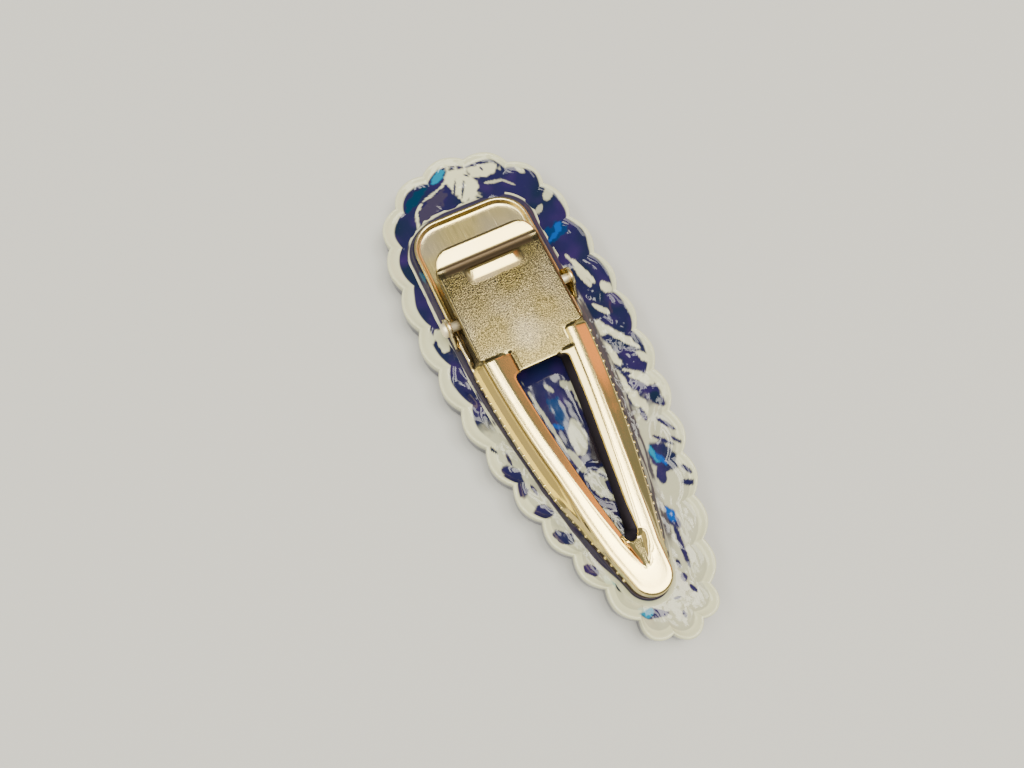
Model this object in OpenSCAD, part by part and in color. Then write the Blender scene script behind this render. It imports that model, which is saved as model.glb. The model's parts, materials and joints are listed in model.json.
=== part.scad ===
// Hair clip: a cast resin ornament with a scalloped edge, lying on its flat front face,
// and the sprung metal clip that is bedded on its back.
// X runs along the clip, from the press end to the tip of the jaws. Z points up, away from
// the ornament's front face. The origin is the middle of the footprint, on that face.

/* [Ornament] */
// Length of the ornament over its lobes
ornament_len = 76.2; // [66:0.1:90]
// Radius of the ornament's wide end
wide_r = 14; // [13:0.1:15]
// Radius of the ornament's narrow end
point_r = 6.4; // [5:0.1:8]
// Radius of the ornament's long sides
belly_r = 114; // [105:1:140]
// Height of the resin's flat back above the front face
ornament_thick = 4; // [3:0.1:8]
// Height that the cast lip stands above the flat back
lip_h = 0.7; // [0.2:0.1:1.5]
// How far each notch cuts in between two lobes
lobe_depth = 1.1; // [0.2:0.1:2]
// How much longer the lobes at the wide end are than the middle ones, as a share
lobe_stretch = 0.18; // [0:0.01:0.3]
// Turn of the ornament against the clip, in degrees
ornament_turn = 0.7; // [-3:0.1:3]

/* [Clip] */
// Length of the clip's lower jaw
clip_len = 60; // [50:0.5:66]
// Width of the clip's lower jaw
clip_w = 17.5; // [14:0.5:20]
// Radius of the long curve of the jaws' sides
side_r = 156; // [145:1:170]
// Length of the straight sides and corners at the press end
straight_len = 15.5; // [12:0.5:18]
// Radius of the lower jaw's two corners
corner_r = 4.5; // [3:0.1:6]
// Thickness of the sheet metal
sheet = 0.5; // [0.4:0.05:0.7]
// Place of the clip's middle line across the ornament
clip_y = -1.2; // [-3:0.1:3]
// Place of the lower jaw's press end along the ornament
clip_end_x = -28; // [-29:0.1:-27]
// Height of the lower jaw's rim above its floor
rim_h = 0.8; // [0.5:0.1:1.2]

/* [Lever] */
// Distance from the lower jaw's press end to the lever's
lever_setback = 6.6; // [5:0.1:9]
// Gap between the lever's tab and the outline of the lower jaw
tab_inset = 1; // [0.8:0.1:1.6]
// Slope of the closed lever, in degrees
lever_slope = 2.4; // [1:0.2:3]
// Height of the ribs and ridges above the tab
rib_h = 0.7; // [0.3:0.1:1]
// Width of the window at its widest place
window_w = 8.4; // [6:0.2:9]

/* [Hinge] */
// Distance from the lower jaw's press end to the pin
pin_setback = 17; // [16:0.1:18]
// Diameter of the hinge pin
pin_d = 1.3; // [1:0.05:1.5]
// Height of the pin above the lower jaw's floor
pin_h = 2.2; // [2:0.1:3]
// Height of the tab's top above the pin
tab_h = 1.9; // [1.8:0.1:2.4]
// Radial clearance of the pin in the lever
pin_play = 0.06; // [0.02:0.01:0.1]
// Diameter of the spring's wire
wire_d = 0.45; // [0.3:0.05:0.5]

/* [Hidden] */
gold = "#d9b56a";
seat_gap = 0.03;
$fn = 64;

// Rings of the ornament from the front face up to the flat back.
// Columns: inset from the outline, height, share of the lobes' depth that shows there.
ORNAMENT_RINGS = [
    [1.1, 0.0, 0.8],
    [0.3, 0.35, 1.0],
    [0.0, 1.1, 1.0],
    [0.0, ornament_thick - 0.7, 1.0],
    [0.25, ornament_thick + 0.6 * lip_h, 1.0],
    [0.65, ornament_thick + lip_h, 1.0],
    [1.15, ornament_thick + 0.55 * lip_h, 0.75],
    [1.6, ornament_thick, 0.5],
];
LOBES = 28;
STEPS_PER_LOBE = 8;

// Heights
bed_bottom = ornament_thick + seat_gap;
bed_top = bed_bottom + 0.4;
floor_bottom = bed_top + seat_gap;
floor_top = floor_bottom + sheet;
pin_z = floor_top + pin_h;

// The jaws' outline: straight sides, two long arcs tangent to them, and a round tip.
half_w = clip_w / 2;
tip_x = clip_end_x + clip_len;
side_x = clip_end_x + straight_len;
arc_y = side_r - half_w;
arc_run = tip_x - side_x;
tip_r = (side_r * side_r - arc_run * arc_run - arc_y * arc_y) / (2 * (side_r - arc_run));
tip_cx = tip_x - tip_r;
taper = atan2(tip_cx - side_x, arc_y);

// Rings of the cast bed, from its foot up to the clip's edge and down under the clip.
// Columns: distance outside the clip's outline, height.
BED_RINGS = [
    [0.95, bed_bottom],
    [0.5, bed_bottom + 0.28],
    [seat_gap + 0.15, floor_top],
    [seat_gap, floor_top],
    [seat_gap, bed_top],
];

// The lever
lever_end_x = clip_end_x + lever_setback;
tab_corner_r = 3.5;
pin_x = clip_end_x + pin_setback;
arms_x = clip_end_x + 23.6;
rim_end_x = arms_x - 0.6;
lever_ear_r = 1.7;
// The window's long curves are flatter than the jaws' sides.
window_r = 227;
window_arc_x = clip_end_x + 9.8;
window_x = clip_end_x + 27;
window_corner_r = 1;
window_half = window_w / 2 + pow(window_x - window_arc_x, 2) / (2 * window_r);
// Top of the lever's arm, from the toothed edge to the window. The edge is cut off on the
// lower jaw's floor.
// Columns: inset from the outline, height above the tab.
ARM_PROFILE = [
    [0.1, -4.6],
    [0.3, -1.9],
    [0.7, -1.0],
    [1.35, -0.4],
    [1.75, 0.3],
    [2.2, 0.85 * rib_h],
    [2.65, rib_h],
    [3.15, 0.7 * rib_h],
    [3.65, 0],
    [4.6, 0],
];
// The two grip ridges across the tab.
// Columns: distance from the lever's end, length along X, half length across, height.
RIDGES = [
    [2.1, 3.0, 7.2, rib_h],
    [5.6, 2.0, 3.6, 0.7 * rib_h],
];

// The pin, the ears and the spring
pin_r = pin_d / 2;
ear_out = half_w + 0.6;
ear_top_r = 1.45;
ear_foot = 2.9;
head_r = 1.05;
head_len = 0.85;
coil_r = pin_r + 0.1 + wire_d / 2;
whole_turns = 4;
coil_half = (whole_turns + 0.5) * (wire_d + 0.12) / 2;
spring_leg = 5.8;
WIRE_SIDES = 6;
STEPS_PER_TURN = 14;

function unit(v) = v / norm(v);

// The ornament's outline through the tops of its lobes: a wide arc, two long arcs and a
// small one, each tangent to the next. The angles are those of the joins, seen from the
// centre of the +Y side's long arc.
wide_cx = wide_r - ornament_len / 2;
point_cx = ornament_len / 2 - point_r;
centre_gap = point_cx - wide_cx;
to_wide = belly_r - wide_r;
to_point = belly_r - point_r;
belly_run = (to_wide * to_wide - to_point * to_point + centre_gap * centre_gap) / (2 * centre_gap);
belly_cx = wide_cx + belly_run;
belly_cy = -sqrt(to_wide * to_wide - belly_run * belly_run);
wide_join = atan2(-belly_cy, wide_cx - belly_cx);
point_join = atan2(-belly_cy, point_cx - belly_cx);
// Lengths of the three arcs on one side
wide_run = wide_r * (180 - wide_join) * PI / 180;
long_run = belly_r * (wide_join - point_join) * PI / 180;
point_run = point_r * point_join * PI / 180;
half_run = wide_run + long_run + point_run;
function arc_point(c, r, a, inset) = [c.x + (r - inset) * cos(a), c.y + (r - inset) * sin(a)];
// Point on the +Y side at a length s from the wide end, moved inwards by inset
function side_point(s, inset) =
    s < wide_run ? arc_point([wide_cx, 0], wide_r, 180 - s / wide_r * 180 / PI, inset)
    : s < wide_run + long_run
        ? arc_point([belly_cx, belly_cy], belly_r, wide_join - (s - wide_run) / belly_r * 180 / PI, inset)
    : arc_point([point_cx, 0], point_r, (half_run - s) / point_r * 180 / PI, inset);
// Depth of the scallop at a place counted in lobes, from 0 on a lobe's top to 1 in a notch
function scallop(u) = 1 - pow(abs(cos(180 * u)), 0.85);
// Point of the outline at a place counted in lobes, from the wide end round by +Y
function outline_point(u, inset, share) =
    let (half = LOBES / 2,
         t = (u <= half ? u : LOBES - u) / half,
         p = side_point(half_run * t * (1 + lobe_stretch * (1 - t)), inset + share * lobe_depth * scallop(u)))
    [p.x, u <= half ? p.y : -p.y];
function turned(p) = [p.x * cos(ornament_turn) - p.y * sin(ornament_turn),
                      p.x * sin(ornament_turn) + p.y * cos(ornament_turn)];
function ring_points(ring) = [
    for (i = [0 : LOBES * STEPS_PER_LOBE - 1]) turned(outline_point(i / STEPS_PER_LOBE, ring[0], ring[2]))
];
edge_points = ring_points([0, 0, 1]);
edge_xs = [for (p = edge_points) p.x];
edge_ys = [for (p = edge_points) p.y];
middle = [(min(edge_xs) + max(edge_xs)) / 2, (min(edge_ys) + max(edge_ys)) / 2];

module resin_ornament() {
    n = LOBES * STEPS_PER_LOBE;
    rings = len(ORNAMENT_RINGS);
    points = [for (ring = ORNAMENT_RINGS, p = ring_points(ring)) [p.x - middle.x, p.y - middle.y, ring[1]]];
    walls = [
        for (r = [0 : rings - 2], i = [0 : n - 1])
            let (a = r * n + i, b = r * n + (i + 1) % n)
            each [[a, b + n, b], [a, a + n, b + n]]
    ];
    front = [for (i = [0 : n - 1]) i];
    back = [for (i = [n - 1 : -1 : 0]) (rings - 1) * n + i];
    color("#14143a") polyhedron(points = points, faces = concat([front], walls, [back]), convexity = 6);
}

// The jaws' outline moved inwards by inset, with its own press end: a corner, a long side and
// half of the tip, then the same backwards on the -Y side
function jaw_points(inset, end_x = clip_end_x, corner = corner_r) =
    let (centres = [[end_x + corner, half_w - inset - corner], [side_x, -arc_y], [tip_cx, 0]],
         radii = [corner, side_r - inset, tip_r - inset],
         from = [180, 90, 90 - taper],
         to = [90, 90 - taper, 0],
         steps = [8, 40, 12],
         half = [
             for (k = [0 : 2], i = [(k == 2 ? 1 : 0) : steps[k]])
                 arc_point(centres[k], radii[k], from[k] + (to[k] - from[k]) * i / steps[k], 0)
         ])
    concat(half, [for (i = [len(half) - 2 : -1 : 0]) [half[i].x, -half[i].y]]);
module jaw_plan(inset, end_x = clip_end_x, corner = corner_r) {
    polygon(jaw_points(inset, end_x, corner));
}

// Plan of the window between the arms
module window_plan(grow = 0) {
    w = window_w / 2 + grow;
    intersection() {
        translate([window_x + window_corner_r, -w]) square([30, 2 * w]);
        translate([window_arc_x, window_half - window_r]) circle(r = window_r + grow, $fn = 360);
        translate([window_arc_x, window_r - window_half]) circle(r = window_r + grow, $fn = 360);
        translate([clip_end_x, -w]) square([52.6 + grow, 2 * w]);
    }
    translate([window_x, window_corner_r - w]) square([2 * window_corner_r, 2 * (w - window_corner_r)]);
    for (s = [-1, 1]) translate([window_x + window_corner_r, s * (w - window_corner_r)])
        circle(r = window_corner_r);
}

// Carries a section round the jaws' outline. The section's x is 0 on the outline and
// negative inside it, and its y is the height.
module along_sides(from_x, to_x = side_x + side_r * sin(taper)) {
    from = asin((from_x - side_x) / side_r);
    to = asin((to_x - side_x) / side_r);
    for (s = [0, 1]) mirror([0, s, 0])
        translate([side_x, -arc_y, 0])
            rotate_extrude(start = 90 - to, angle = to - from, $fn = 360)
                translate([side_r, 0]) children();
}
module round_tip() {
    translate([tip_cx, 0, 0])
        rotate_extrude(start = taper - 90, angle = 180 - 2 * taper) intersection() {
            translate([tip_r, 0]) children();
            translate([0, -20]) square([20, 40]);
        }
}
module round_press_end() {
    for (s = [0, 1]) mirror([0, s, 0]) {
        translate([clip_end_x + corner_r, half_w, 0]) rotate([90, 0, 90])
            linear_extrude(straight_len - corner_r) children();
        translate([clip_end_x + corner_r, half_w - corner_r, 0])
            rotate_extrude(start = 90, angle = 90) translate([corner_r, 0]) children();
    }
    translate([clip_end_x, corner_r - half_w, 0]) rotate([90, 0, 180])
        linear_extrude(clip_w - 2 * corner_r) children();
}

module placed() {
    translate([0, clip_y, 0]) children();
}

// Foot of a lower ear, that carries it out from the floor
module ear_feet(grow = 0) {
    foot = [2 * ear_foot, ear_out - half_w + 0.9, sheet] + 2 * grow * [1, 1, 1];
    for (s = [-1, 1]) translate([pin_x, s * (ear_out + half_w - 0.9) / 2, floor_bottom + sheet / 2])
        cube(foot, center = true);
}

// Cast bed under the clip, with a sloped fillet that climbs to the clip's edge
module glue_bed() {
    outlines = [for (ring = BED_RINGS) jaw_points(-ring[0], clip_end_x - ring[0], corner_r + ring[0])];
    n = len(outlines[0]);
    rings = len(BED_RINGS);
    points = [for (r = [0 : rings - 1], p = outlines[r]) [p.x, p.y, BED_RINGS[r][1]]];
    walls = [
        for (r = [0 : rings - 2], i = [0 : n - 1])
            let (a = r * n + i, b = r * n + (i + 1) % n)
            each [[a, b, b + n], [a, b + n, a + n]]
    ];
    under = [for (i = [n - 1 : -1 : 0]) i];
    top = [for (i = [0 : n - 1]) (rings - 1) * n + i];
    color("#22224e") placed() difference() {
        polyhedron(points = points, faces = concat([under], walls, [top]), convexity = 4);
        ear_feet(seat_gap);
    }
}

module base_plate() {
    color(gold) placed() difference() {
        union() {
            translate([0, 0, floor_bottom]) linear_extrude(sheet) jaw_plan(0);
            round_press_end() rim_section();
            along_sides(side_x, rim_end_x) rim_section();
            ear_feet();
            for (s = [-1, 1]) translate([pin_x, s * (ear_out - sheet / 2), pin_z]) rotate([90, 0, 0])
                linear_extrude(sheet, center = true) base_ear_plan();
        }
        translate([0, 0, floor_bottom - 1]) linear_extrude(4) window_plan(0.6);
        translate([pin_x, 0, pin_z]) rotate([90, 0, 0]) cylinder(r = pin_r + seat_gap, h = 30, center = true);
    }
}
module base_ear_plan() {
    drop = pin_z - floor_bottom;
    circle(r = ear_top_r);
    polygon([[-ear_top_r, 0], [ear_top_r, 0], [ear_foot, -drop], [-ear_foot, -drop]]);
}
module rim_section() {
    polygon([
        [-0.75, floor_top - 0.2],
        [-seat_gap, floor_top - 0.2],
        [-seat_gap, floor_top + rim_h],
        [-0.35, floor_top + rim_h],
        [-0.6, floor_top],
    ]);
}

// The lever's own frame: its middle plane lies along X and the top of its tab is at height 0
module in_lever() {
    translate([pin_x, 0, pin_z]) rotate([0, lever_slope, 0]) translate([-pin_x, 0, tab_h]) children();
}
module lever() {
    color(gold) placed() difference() {
        in_lever() difference() {
            union() {
                tab();
                along_sides(arms_x) arm_section();
                round_tip() arm_section();
            }
            translate([0, 0, -4]) linear_extrude(8) window_plan();
            translate([pin_x, 0, -tab_h]) rotate([90, 0, 0])
                cylinder(r = pin_r + pin_play, h = 30, center = true);
        }
        translate([arms_x - 1, -half_w, floor_top + seat_gap - 5]) cube([tip_x - arms_x + 2, clip_w, 5]);
    }
}
// The arm's sheet: the profile, and the same line moved one sheet's thickness down or inwards
module arm_section() {
    top = [for (p = ARM_PROFILE) [-p[0], p[1]]];
    n = len(top);
    ways = [for (i = [0 : n - 2]) unit(top[i + 1] - top[i])];
    under = [
        for (i = [n - 1 : -1 : 0])
            let (before = ways[max(i - 1, 0)], after = ways[min(i, n - 2)], along = unit(before + after))
            top[i] + sheet / (along * after) * [-along.y, along.x]
    ];
    polygon(concat(top, under));
}
module tab() {
    skirt_h = 1.3;
    difference() {
        union() {
            translate([0, 0, -skirt_h]) linear_extrude(skirt_h) tab_plan(tab_inset);
            for (ridge = RIDGES) ridge_bar(ridge, 0);
        }
        translate([0, 0, -5 - sheet]) linear_extrude(5) tab_plan(tab_inset + sheet);
        for (ridge = RIDGES) ridge_bar(ridge, sheet);
    }
    for (s = [-1, 1]) translate([pin_x, s * (half_w - tab_inset - sheet / 2), -tab_h]) rotate([90, 0, 0])
        linear_extrude(sheet, center = true) {
            circle(r = lever_ear_r);
            translate([-lever_ear_r, 0]) square([2 * lever_ear_r, tab_h - sheet / 2]);
        }
}
module tab_plan(inset) {
    intersection() {
        jaw_plan(inset, lever_end_x + inset - tab_inset, tab_corner_r - inset + tab_inset);
        translate([clip_end_x, -half_w]) square([window_x + 1 - clip_end_x, clip_w]);
    }
}
// A long low bump across the tab, or with a cut the hollow under it
module ridge_bar(ridge, cut) {
    half = ridge[1] / 2;
    rise = ridge[3];
    r = (half * half + rise * rise) / (2 * rise);
    translate([lever_end_x + ridge[0], 0, rise - r]) intersection() {
        rotate([90, 0, 0]) cylinder(r = r - cut, h = 2 * (ridge[2] - cut), center = true);
        translate([-half, -ridge[2], r - rise - sheet - cut]) cube([2 * half, 2 * ridge[2], rise + sheet + cut]);
    }
}

module hinge_pin() {
    far = ear_out + 0.15;
    near = ear_out + seat_gap;
    color("#e3c88c") placed() translate([pin_x, 0, pin_z]) rotate([90, 0, 0]) {
        translate([0, 0, -far]) cylinder(r = pin_r, h = far + near + 0.1);
        translate([0, 0, near]) cylinder(r = head_r, h = head_len);
    }
}

// The spring's wire, from the pin's middle: a leg down to the lower jaw's floor, the coil,
// and a leg up to the tab's underside. Both legs leave the coil along its tangent.
function spring_path() =
    let (fall = asin((pin_h - wire_d / 2 - seat_gap - coil_r) / spring_leg),
         room = tab_h - sheet + spring_leg * sin(lever_slope) - wire_d / 2 - seat_gap,
         rise = asin((room - coil_r) / spring_leg),
         sweep = 360 * whole_turns + 180 - fall - rise,
         steps = ceil(sweep / 360 * STEPS_PER_TURN),
         coil = [
             for (i = [0 : steps])
                 let (a = fall - 90 + sweep * i / steps)
                 [coil_r * cos(a), coil_half * (2 * i / steps - 1), coil_r * sin(a)]
         ])
    concat(
        [coil[0] - spring_leg * [cos(fall), 0, sin(fall)]],
        coil,
        [coil[steps] + spring_leg * [-cos(rise), 0, sin(rise)]]
    );
module torsion_spring() {
    path = spring_path();
    n = len(path);
    points = [
        for (i = [0 : n - 1])
            let (ahead = unit(path[min(i + 1, n - 1)] - path[max(i - 1, 0)]),
                 side = unit(cross([0, 1, 0], ahead)),
                 up = cross(ahead, side))
            for (k = [0 : WIRE_SIDES - 1])
                path[i] + wire_d / 2 * (side * cos(360 * k / WIRE_SIDES) + up * sin(360 * k / WIRE_SIDES))
    ];
    walls = [
        for (i = [0 : n - 2], k = [0 : WIRE_SIDES - 1])
            let (a = i * WIRE_SIDES + k, b = i * WIRE_SIDES + (k + 1) % WIRE_SIDES)
            each [[a, b, b + WIRE_SIDES], [a, b + WIRE_SIDES, a + WIRE_SIDES]]
    ];
    first = [for (k = [WIRE_SIDES - 1 : -1 : 0]) k];
    last = [for (k = [0 : WIRE_SIDES - 1]) (n - 1) * WIRE_SIDES + k];
    color("#9a9a96") placed() translate([pin_x, 0, pin_z])
        polyhedron(points = points, faces = concat([first], walls, [last]), convexity = 10);
}

resin_ornament();
glue_bed();
base_plate();
lever();
hinge_pin();
torsion_spring();
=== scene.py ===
# %% [markdown]
# This lesson builds the visible pieces of a hair clip that lies face down: a plate of cast resin
# with a scalloped edge, and on its back a gilt spring clip. The frame is the part's own solids,
# which give every place and size. Each step below makes one piece or one finish.

# %% Frame
import json
import math
import bmesh
import bpy
import numpy as np
from mathutils import Matrix, Quaternion, Vector, noise


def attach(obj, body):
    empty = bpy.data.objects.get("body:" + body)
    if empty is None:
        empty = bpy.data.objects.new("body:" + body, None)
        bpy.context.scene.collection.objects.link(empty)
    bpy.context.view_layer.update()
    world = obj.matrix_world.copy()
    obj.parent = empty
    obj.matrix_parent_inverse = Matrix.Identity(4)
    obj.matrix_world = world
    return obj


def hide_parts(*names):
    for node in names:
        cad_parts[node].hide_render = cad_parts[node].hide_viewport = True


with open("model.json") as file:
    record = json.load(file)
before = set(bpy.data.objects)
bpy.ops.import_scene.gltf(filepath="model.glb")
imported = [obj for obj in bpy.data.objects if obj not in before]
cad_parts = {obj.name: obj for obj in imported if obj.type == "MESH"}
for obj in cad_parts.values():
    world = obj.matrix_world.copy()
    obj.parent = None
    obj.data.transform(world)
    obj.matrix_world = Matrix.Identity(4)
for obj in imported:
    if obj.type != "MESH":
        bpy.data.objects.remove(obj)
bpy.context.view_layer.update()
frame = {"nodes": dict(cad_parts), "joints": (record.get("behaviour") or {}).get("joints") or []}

MM = 0.001
BASE = "clip_base"
LEVER = "lever"
print("nodes:", sorted(frame["nodes"]))

# %% [markdown]
# The clip was stamped from sheet metal, so its shape follows a few sizes: straight sides at the
# press end, a long arc on each side, and a round tip. The same named sizes that place the solids
# are set here in millimetres, and each piece is built from them.

# %% Sizes of the clip
CLIP_Y = -1.2
END_X, TIP_X = -28.0, 32.0
HALF_W, SIDE_R, CORNER_R = 8.75, 156.0, 4.5
STRAIGHT = 15.5
SIDE_X = END_X + STRAIGHT
ARC_Y = SIDE_R - HALF_W
RUN = TIP_X - SIDE_X
TIP_R = (SIDE_R**2 - RUN**2 - ARC_Y**2) / (2 * (SIDE_R - RUN))
TIP_CX = TIP_X - TIP_R
TAPER = math.atan2(TIP_CX - SIDE_X, ARC_Y)
SHEET = 0.5
BACK_Z, FLOOR_Z = 4.0, 4.96
pin_at = Vector(frame["joints"][0]["pos_m"]) / MM
SLOPE = math.radians(2.4)
TAB_H = 1.9
TAB_END, TAB_INSET, TAB_CORNER = -21.4, 1.0, 3.5
WINDOW_X, WINDOW_TIP, WINDOW_ARC_X, WINDOW_R = -1.0, 24.6, -18.2, 227.0
REAR_HALF = 4.2
WINDOW_HALF = REAR_HALF + (WINDOW_X - WINDOW_ARC_X) ** 2 / (2 * WINDOW_R)
print("tip radius %.2f mm, taper %.1f degrees, pin at" % (TIP_R, math.degrees(TAPER)), pin_at)

# %% [markdown]
# The camera stands where the photograph was taken from, about ten centimetres above the clip,
# so the near clipping distance has to be short. It could be turned by three angles, but two
# directions, what lies right and what lies ahead, are easier to read off a picture.

# %% Camera
camera_data = bpy.data.cameras.new("camera")
camera_data.lens = 26.965
camera_data.sensor_width = 36.0
camera_data.clip_start = 0.002
camera_data.clip_end = 20.0
camera = bpy.data.objects.new("camera", camera_data)
bpy.context.scene.collection.objects.link(camera)
camera.location = Vector((29.227, -19.985, 102.993)) * MM
RIGHT_X, RIGHT_Y = 0.4286, 0.9035
LEAN, DROP = 0.3223, 0.9466
right = Vector((RIGHT_X, RIGHT_Y, 0.0)).normalized()
forward = Vector((-RIGHT_Y * LEAN, RIGHT_X * LEAN, -DROP)).normalized()
up = right.cross(forward)
camera.rotation_euler = Matrix((right, up, -forward)).transposed().to_euler()
bpy.context.scene.camera = camera
print("the camera looks %.1f degrees off straight down" % math.degrees(math.acos(-forward.z)))

# %% [markdown]
# Polished metal and glossy resin show little but what they reflect, so the light is made of
# things that look right in them: soft panels overhead round a gap that keeps the middle dark,
# two turned strips for the arms' bright crests, a small panel for the tip, a tilted panel and
# two pale walls on one side, and two warm cards on the other. One wide panel would be simpler,
# but it would make every curve the same white.

# %% Soft panels
OVERHEAD = 1.5
SOFT_WHITE, CARD_ORANGE = (1.0, 0.97, 0.84), (1.0, 0.27, 0.01)
PANELS = [  # name, place, length and width, radiance, colour, turn in its own plane
    ("main_panel", (0.44, 0.27, OVERHEAD), (0.48, 1.4), 14.0, SOFT_WHITE, 0),
    ("far_panel", (0.0, 0.74, OVERHEAD), (0.4, 0.44), 14.0, SOFT_WHITE, 0),
    ("near_panel", (0.0, -0.2, OVERHEAD), (0.4, 0.46), 14.0, SOFT_WHITE, 0),
    ("near_strip", (-0.215, 0.198, OVERHEAD), (0.51, 0.095), 20.0, SOFT_WHITE, 8.2),
    ("far_strip", (-0.215, 0.335, OVERHEAD), (0.51, 0.082), 20.0, SOFT_WHITE, -7.3),
    ("tip_panel", (0.065, 0.262, OVERHEAD), (0.21, 0.18), 22.0, SOFT_WHITE, 0),
    ("side_panel", (0.0, -0.94, 1.45), (1.7, 0.4), 8.0, (1.0, 0.98, 0.88), 0),
    ("pale_wall", (0.0, -1.45, 1.0), (1.8, 0.5), 0.55, (1.0, 0.82, 0.38), 0),
    ("bright_wall", (0.0, -1.72, 0.56), (1.8, 0.45), 2.6, (1.0, 0.85, 0.28), 0),
    ("warm_card_low", (-0.7, 1.45, 0.76), (1.1, 0.5), 1.8, CARD_ORANGE, 0),
    ("warm_card_high", (0.1, 1.45, 1.25), (0.95, 0.42), 1.8, CARD_ORANGE, 0),
]


def soft_panel(name, place, size, radiance, colour, turn):
    """An area light of a given radiance. One overhead faces down, any other faces the clip."""
    light = bpy.data.lights.new(name, "AREA")
    light.shape = "RECTANGLE"
    light.size, light.size_y = size
    light.energy = radiance * math.pi * size[0] * size[1]
    light.color = colour
    panel = bpy.data.objects.new(name, light)
    panel.location = place
    target = (place[0], place[1], 0) if place[2] == OVERHEAD else (0, 0, 0)
    aim = (Vector(target) - Vector(place)).to_track_quat("-Z", "Y")
    panel.rotation_euler = (aim @ Quaternion((0, 0, 1), math.radians(turn))).to_euler()
    bpy.context.scene.collection.objects.link(panel)


for panel_row in PANELS:
    soft_panel(*panel_row)

# %% [markdown]
# The clip lies on a plain pale floor, and the room round it gives a weak grey light from all
# sides, so that nothing turns black. A picture of a real room would light it too, but it would
# bring in reflections that nobody chose.

# %% Room and floor
world = bpy.data.worlds.new("room")
world.use_nodes = True
room_light = world.node_tree.nodes["Background"].inputs
room_light["Color"].default_value = (0.36, 0.37, 0.35, 1)
room_light["Strength"].default_value = 1.0
bpy.context.scene.world = world

bpy.ops.mesh.primitive_plane_add(size=4)
floor = bpy.context.object
floor.name = "pale_floor"
floor_paint = bpy.data.materials.new("floor_paint")
floor_paint.use_nodes = True
matt = floor_paint.node_tree.nodes["Principled BSDF"].inputs
matt["Base Color"].default_value = (0.46, 0.46, 0.45, 1)
matt["Roughness"].default_value = 0.9
floor.data.materials.append(floor_paint)
print("floor:", floor.name, "and room:", world.name)

# %% [markdown]
# Each finish below is a small tree of nodes, which could be drawn by hand in the shader editor.
# In a script, one helper fills a node's sockets, each with a value or with a link from another
# node, and others add any node, a mix of two colours, a noise, a scaled value or a colour ramp.
# The last helper writes a number for each point of a mesh, which a finish can read.

# %% Helpers for finishes
def new_finish(name):
    """A new material, its tree and the sockets of its shader."""
    material = bpy.data.materials.new(name)
    material.use_nodes = True
    return material, material.node_tree, material.node_tree.nodes["Principled BSDF"].inputs


def fill(tree, inputs, sockets):
    """Give each named or numbered socket its value, or a link from another node's output."""
    for key, value in dict(sockets).items():
        if isinstance(value, bpy.types.NodeSocket):
            tree.links.new(value, inputs[key])
        else:
            inputs[key].default_value = value


def add(tree, kind, sockets=(), **settings):
    """Add a node and return its outputs."""
    node = tree.nodes.new(kind)
    for key, value in settings.items():
        setattr(node, key, value)
    fill(tree, node.inputs, sockets)
    return node.outputs


def mix(tree, share, first, second, **settings):
    return add(tree, "ShaderNodeMix", {0: share, 6: first, 7: second}, data_type="RGBA", **settings)[2]


def noise_of(tree, place, **sizes):
    return add(tree, "ShaderNodeTexNoise", {"Vector": place, **sizes})["Fac"]


def scaled(tree, value, by, plus=0.0):
    return add(tree, "ShaderNodeMath", {0: value, 1: by, 2: plus}, operation="MULTIPLY_ADD")["Value"]


def ramp(tree, share, stops):
    """Colours along a share from 0 to 1, from (place, colour) stops."""
    node = tree.nodes.new("ShaderNodeValToRGB")
    while len(node.color_ramp.elements) < len(stops):
        node.color_ramp.elements.new(0.5)
    for element, (place, colour) in zip(node.color_ramp.elements, stops):
        element.position = place
        element.color = (*colour, 1)
    tree.links.new(share, node.inputs["Fac"])
    return node.outputs["Color"]


def paint(piece, name, values):
    attribute = piece.data.attributes.new(name, "FLOAT", "POINT")
    attribute.data.foreach_set("value", np.asarray(values, np.float32))


print("materials so far:", len(bpy.data.materials))

# %% [markdown]
# Gilt steel takes its look from its own roughness and a fine relief. On the real clip the tab
# has the pebbled skin that a worn die leaves and the tray is brushed. Shade is painted in as a
# dark, rougher colour: in the lever's valley, along its rolled end and round its grip ridge, and
# on the tray's arms under the lever. Soft lilac-grey patches are painted reflection. One function
# makes all three gilt finishes, because they differ in a few values only. Where the relief is
# strong and where shade is painted comes from two attributes of a mesh, one for the grain and one
# for the painted shade, so the pattern follows the metal's form. A piece without them has neither.

# %% Gilt sheet
PEBBLE_TONES, BRUSHED_TONES = (0.08, 0.18, 0.29), (0.8, 0.92, 1.0)
TONE_STOPS = (0.32, 0.5, 0.66)
REFLECTED_LILAC_GREY = (0.66, 0.58, 0.52, 1)


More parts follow.
